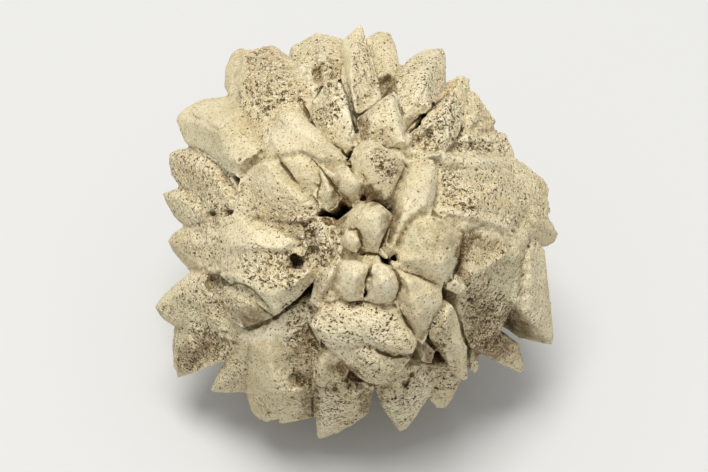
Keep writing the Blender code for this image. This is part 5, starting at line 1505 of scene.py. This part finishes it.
    def crack_depths(self, places: Places, crowned: np.ndarray) -> np.ndarray:
        """How deep the cracks are at each place.

        Args:
            places: the places.
            crowned: 1 on the crown, 0 behind it.

        Returns:
            The depths, as multiples of the weathering's crack depth.
        """
        depths = np.zeros(len(crowned))
        for crack in CRACKS:
            near = places.boxed(np.array(crack.run), crack.spread, crowned > 0)
            for number, leg in enumerate(zip(crack.run, crack.run[1:])):
                away, _, along = places[near].off_leg(*leg)
                middle = np.sin(math.pi * (number + along) / (len(crack.run) - 1))
                taper = self.taper + (1 - self.taper) * middle
                share = np.clip(1 - away / (crack.spread * taper), 0, 1) * taper * crowned[near]
                depths[near] = np.maximum(depths[near], crack.strength * share)
            LOG.debug("crack: %s", crack.where)
        return depths

    def thin_far_side(self, stone: bpy.types.Object) -> None:
        """Makes the mesh coarser away from the crown, where its faces are large and plain.

        Args:
            stone: the worn stone.
        """
        out = self.crown.sighted(read(stone.data.vertices, "co", 3).astype(float)).out
        least, steps = 0.05, 10
        weight = np.clip((self.near_side - out) / self.near_side, least, 1)
        group = stone.vertex_groups.new(name="far")
        levels = np.linspace(0, 1, steps + 1)
        for low, high in zip(levels, levels[1:]):
            group.add(np.flatnonzero((weight > low) & (weight <= high)).tolist(), high, "REPLACE")
        thin = stone.modifiers.new("thin", "DECIMATE")
        thin.vertex_group = group.name
        thin.vertex_group_factor = 10
        triangles = 2 * len(stone.data.polygons)
        thin.ratio = self.most_faces / triangles
        settle(stone)
        stone.vertex_groups.clear()

    def cut(self, stone: bpy.types.Object) -> list[bpy.types.Object]:
        """Cuts the stone into upright blocks of about the same weight.

        Args:
            stone: the worn stone.

        Returns:
            The blocks.
        """
        cuts = np.quantile(read(stone.data.vertices, "co", 3)[:, 0],
                           np.linspace(0, 1, self.blocks + 1))
        cuts[0] -= 1 * MM
        cuts[-1] += 1 * MM
        made, around = [], 100 * MM
        for number, (left, right) in enumerate(zip(cuts, cuts[1:]), 1):
            block = add_object(f"crystal_block_{number}", stone.data.copy())
            slab = add_box("slab", (left, -around, -around), (right, around, 2 * around))
            crop = block.modifiers.new("crop", "BOOLEAN")
            crop.operation = "INTERSECT"
            crop.solver = "MANIFOLD"
            crop.object = slab
            settle(block)
            bpy.data.objects.remove(slab)
            self.mend_cuts(block, stone.data, (left, right))
            made.append(block)
        bpy.data.objects.remove(stone)
        return made

    def mend_cuts(self, block: bpy.types.Object, whole: bpy.types.Mesh,
                  cuts: tuple[float, float]) -> None:
        """Gives the corners that a cut made the marks and the normals of the uncut stone.

        Args:
            block: a block.
            whole: the mesh of the uncut stone.
            cuts: the places of the block's two cuts.
        """
        mesh = block.data
        mesh.materials.clear()
        mesh.materials.append(self.finish)
        places, source = read(mesh.vertices, "co", 3), read(whole.vertices, "co", 3)
        on_cut = np.zeros(len(places), bool)
        by_cut = np.zeros(len(source), bool)
        thinnest, closest, neighbours = 0.002 * MM, 0.01 * MM, 4
        for cut in cuts:
            on_cut |= np.abs(places[:, 0] - cut) < thinnest
            by_cut |= np.abs(source[:, 0] - cut) < self.reach * MM
        new, old = np.flatnonzero(on_cut), np.flatnonzero(by_cut)
        tree = KDTree(len(old))
        for spot, number in enumerate(old):
            tree.insert(source[number], spot)
        tree.balance()
        found = [tree.find_n(places[number], neighbours) for number in new]
        near = old[np.array([[item[1] for item in nearest] for nearest in found])]
        share = 1 / (np.array([[item[2] for item in nearest] for nearest in found]) + closest)
        share /= share.sum(1, keepdims=True)
        for mark in whole.attributes:
            if mark.domain == "POINT" and mark.data_type == "FLOAT":
                target = mesh.attributes[mark.name].data
                values = read(target, "value", 1)[:, 0]
                values[new] = (read(mark.data, "value", 1)[:, 0][near] * share).sum(1)
                target.foreach_set("value", values)
        moved = read(whole.attributes["grown"].data, "vector", 3) - source
        grown = read(mesh.attributes["grown"].data, "vector", 3)
        grown[new] = places[new] + (moved[near] * share[:, :, None]).sum(1)
        mesh.attributes["grown"].data.foreach_set("vector", grown.ravel())
        turned = np.zeros((len(places), 3))
        turned[new] = (read(whole.vertices, "normal", 3)[near] * share[:, :, None]).sum(1)
        self.shade(mesh, on_cut, turned)

    def shade(self, mesh: bpy.types.Mesh, on_cut: np.ndarray, turned: np.ndarray) -> None:
        """Shades a block's skin smooth and its cut faces flat, without a seam between blocks.

        Args:
            mesh: the block's mesh.
            on_cut: which of its corners lie on a cut.
            turned: the uncut stone's normal at those corners.
        """
        faces = mesh.polygons
        skin = np.abs(read(faces, "normal", 3)[:, 0]) < 0.9999  # a cut faces straight along X
        faces.foreach_set("material_index", np.zeros(len(faces), np.int32))
        faces.foreach_set("use_smooth", skin)
        normals = read(mesh.corner_normals, "vector", 3)
        corners = read(mesh.loops, "vertex_index", 1, np.int32)[:, 0]
        smooth = np.repeat(skin, read(faces, "loop_total", 1, np.int32)[:, 0])
        swap = smooth & on_cut[corners]
        normals[swap] = turned[corners[swap]]
        normals /= np.linalg.norm(normals, axis=1, keepdims=True)
        mesh.normals_split_custom_set(normals)


def read(items: object, name: str, width: int, kind: type = np.float32) -> np.ndarray:
    """Reads one property of many mesh items.

    Args:
        items: the vertices, edges, faces or marks.
        name: the property.
        width: how many numbers it has.
        kind: the numbers' type.

    Returns:
        The numbers, one row an item.
    """
    flat = np.empty(len(items) * width, kind)
    items.foreach_get(name, flat)
    return flat.reshape(-1, width)


def add_object(name: str, mesh: bpy.types.Mesh) -> bpy.types.Object:
    """Adds an object to the scene.

    Args:
        name: its name.
        mesh: its mesh.

    Returns:
        The object.
    """
    made = bpy.data.objects.new(name, mesh)
    bpy.context.scene.collection.objects.link(made)
    return made


def add_box(name: str, low: tuple[float, float, float], high: tuple[float, float, float],
            ) -> bpy.types.Object:
    """Makes a box.

    Args:
        name: its name.
        low: its lowest corner, in metres.
        high: its highest corner.

    Returns:
        The box.
    """
    bm = bmesh.new()
    bmesh.ops.create_cube(bm, size=1)
    for vert in bm.verts:
        vert.co = Vector([a if c < 0 else b for c, a, b in zip(vert.co, low, high)])
    mesh = bpy.data.meshes.new(name)
    bm.to_mesh(mesh)
    bm.free()
    return add_object(name, mesh)


def settle(made: bpy.types.Object) -> None:
    """Replaces an object's mesh by what its modifiers make of it, and removes them.

    Args:
        made: the object.
    """
    graph = bpy.context.evaluated_depsgraph_get()
    mesh = bpy.data.meshes.new_from_object(made.evaluated_get(graph))
    made.modifiers.clear()
    made.data = mesh


@dataclass(frozen=True)
class Studio:
    """A plain pale floor, soft light and the camera.

    Args:
        crown: what the camera looks at.
        lens: the focal length, in millimetres.
        sensor: the breadth of the camera's sensor, in millimetres.
        aim: what the camera aims at, as (across, up) in millimetres from the heart.
        floor_half: half the floor's breadth, in metres.
        floor_paint: the floor's colour.
        floor_rough: how rough it is.
        lamp_size: the lamp's diameter, in metres.
        lamp_away: its distance from the heart, in metres.
        lamp_way: the way to it as (across, up, out).
        lamp_power: its power, in watts.
        lamp_paint: its colour.
        sky_paint: the sky's colour.
        sky_strength: how bright the sky is.
    """

    crown: Crown
    lens: float = 100.0
    sensor: float = 36.0
    aim: tuple = (-0.2, -0.8)
    floor_half: float = 1.5
    floor_paint: tuple = (0.62, 0.62, 0.61, 1)
    floor_rough: float = 0.9
    lamp_size: float = 0.6
    lamp_away: float = 1.3
    lamp_way: tuple = (-0.08, 0.6, 0.85)
    lamp_power: float = 15.4
    lamp_paint: tuple = (1, 0.985, 0.96)
    sky_paint: tuple = (0.86, 0.87, 0.88, 1)
    sky_strength: float = 0.66

    def floor(self) -> bpy.types.Object:
        """Makes the floor.

        Returns:
            The floor.
        """
        bm = bmesh.new()
        bmesh.ops.create_grid(bm, size=self.floor_half)
        mesh = bpy.data.meshes.new("floor")
        bm.to_mesh(mesh)
        bm.free()
        material = bpy.data.materials.new("pale_floor")
        material.use_nodes = True
        shader = material.node_tree.nodes["Principled BSDF"]
        shader.inputs["Base Color"].default_value = self.floor_paint
        shader.inputs["Roughness"].default_value = self.floor_rough
        mesh.materials.append(material)
        return add_object("floor", mesh)

    def light(self) -> None:
        """Sets a soft key light from above and a pale sky."""
        lamp = bpy.data.lights.new("key", "AREA")
        lamp.shape = "DISK"
        lamp.size = self.lamp_size
        lamp.energy = self.lamp_power
        lamp.color = self.lamp_paint
        across, up, out = self.lamp_way
        crown = self.crown
        way = (crown.across * across + crown.up * up + crown.out * out).normalized()
        made = bpy.data.objects.new("key", lamp)
        made.matrix_world = way.to_track_quat("Z", "Y").to_matrix().to_4x4()
        made.matrix_world.translation = crown.heart + way * self.lamp_away
        bpy.context.scene.collection.objects.link(made)
        world = bpy.data.worlds.new("sky")
        world.use_nodes = True
        backdrop = world.node_tree.nodes["Background"]
        backdrop.inputs["Color"].default_value = self.sky_paint
        backdrop.inputs["Strength"].default_value = self.sky_strength
        bpy.context.scene.world = world

    def camera(self) -> None:
        """Sets the camera on the crown's axis."""
        made = bpy.data.objects.new("camera", bpy.data.cameras.new("camera"))
        made.data.lens = self.lens
        made.data.sensor_width = self.sensor
        crown = self.crown
        across, up = self.aim
        turn = Matrix((crown.across, crown.up, crown.out)).transposed().to_4x4()
        turn.translation = crown.eye + crown.across * (across * MM) + crown.up * (up * MM)
        made.matrix_world = turn
        bpy.context.scene.collection.objects.link(made)
        bpy.context.scene.camera = made


def main() -> None:
    """Builds the stone, dresses it and sets the studio."""
    logging.basicConfig(level=logging.INFO, format="%(name)s: %(message)s")
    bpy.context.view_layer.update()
    crown = Crown()
    finish = WeatheredCalcite().material()
    stone = WornStone(crown, finish)
    copy = stone.fine_copy()
    LOG.info("fine copy: %d corners", len(copy.data.vertices))
    stone.lay_forms(copy)
    LOG.info("relief of %d crystals laid", len(FORMS))
    stone.mark_faces(copy)
    LOG.info("%d patches and %d cracks marked", len(PATCHES), len(CRACKS))
    Weathering(finish).wear(copy)
    stone.thin_far_side(copy)
    LOG.info("worn: %d faces", len(copy.data.polygons))
    for block in stone.cut(copy):
        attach(block, "root")
        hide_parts(NODE)
        block.data.calc_loop_triangles()
        LOG.info("%s: %d triangles", block.name, len(block.data.loop_triangles))
    studio = Studio(crown)
    studio.floor()
    studio.light()
    studio.camera()
    bpy.context.scene.view_settings.view_transform = "Standard"


if __name__ == "__main__":
    main()
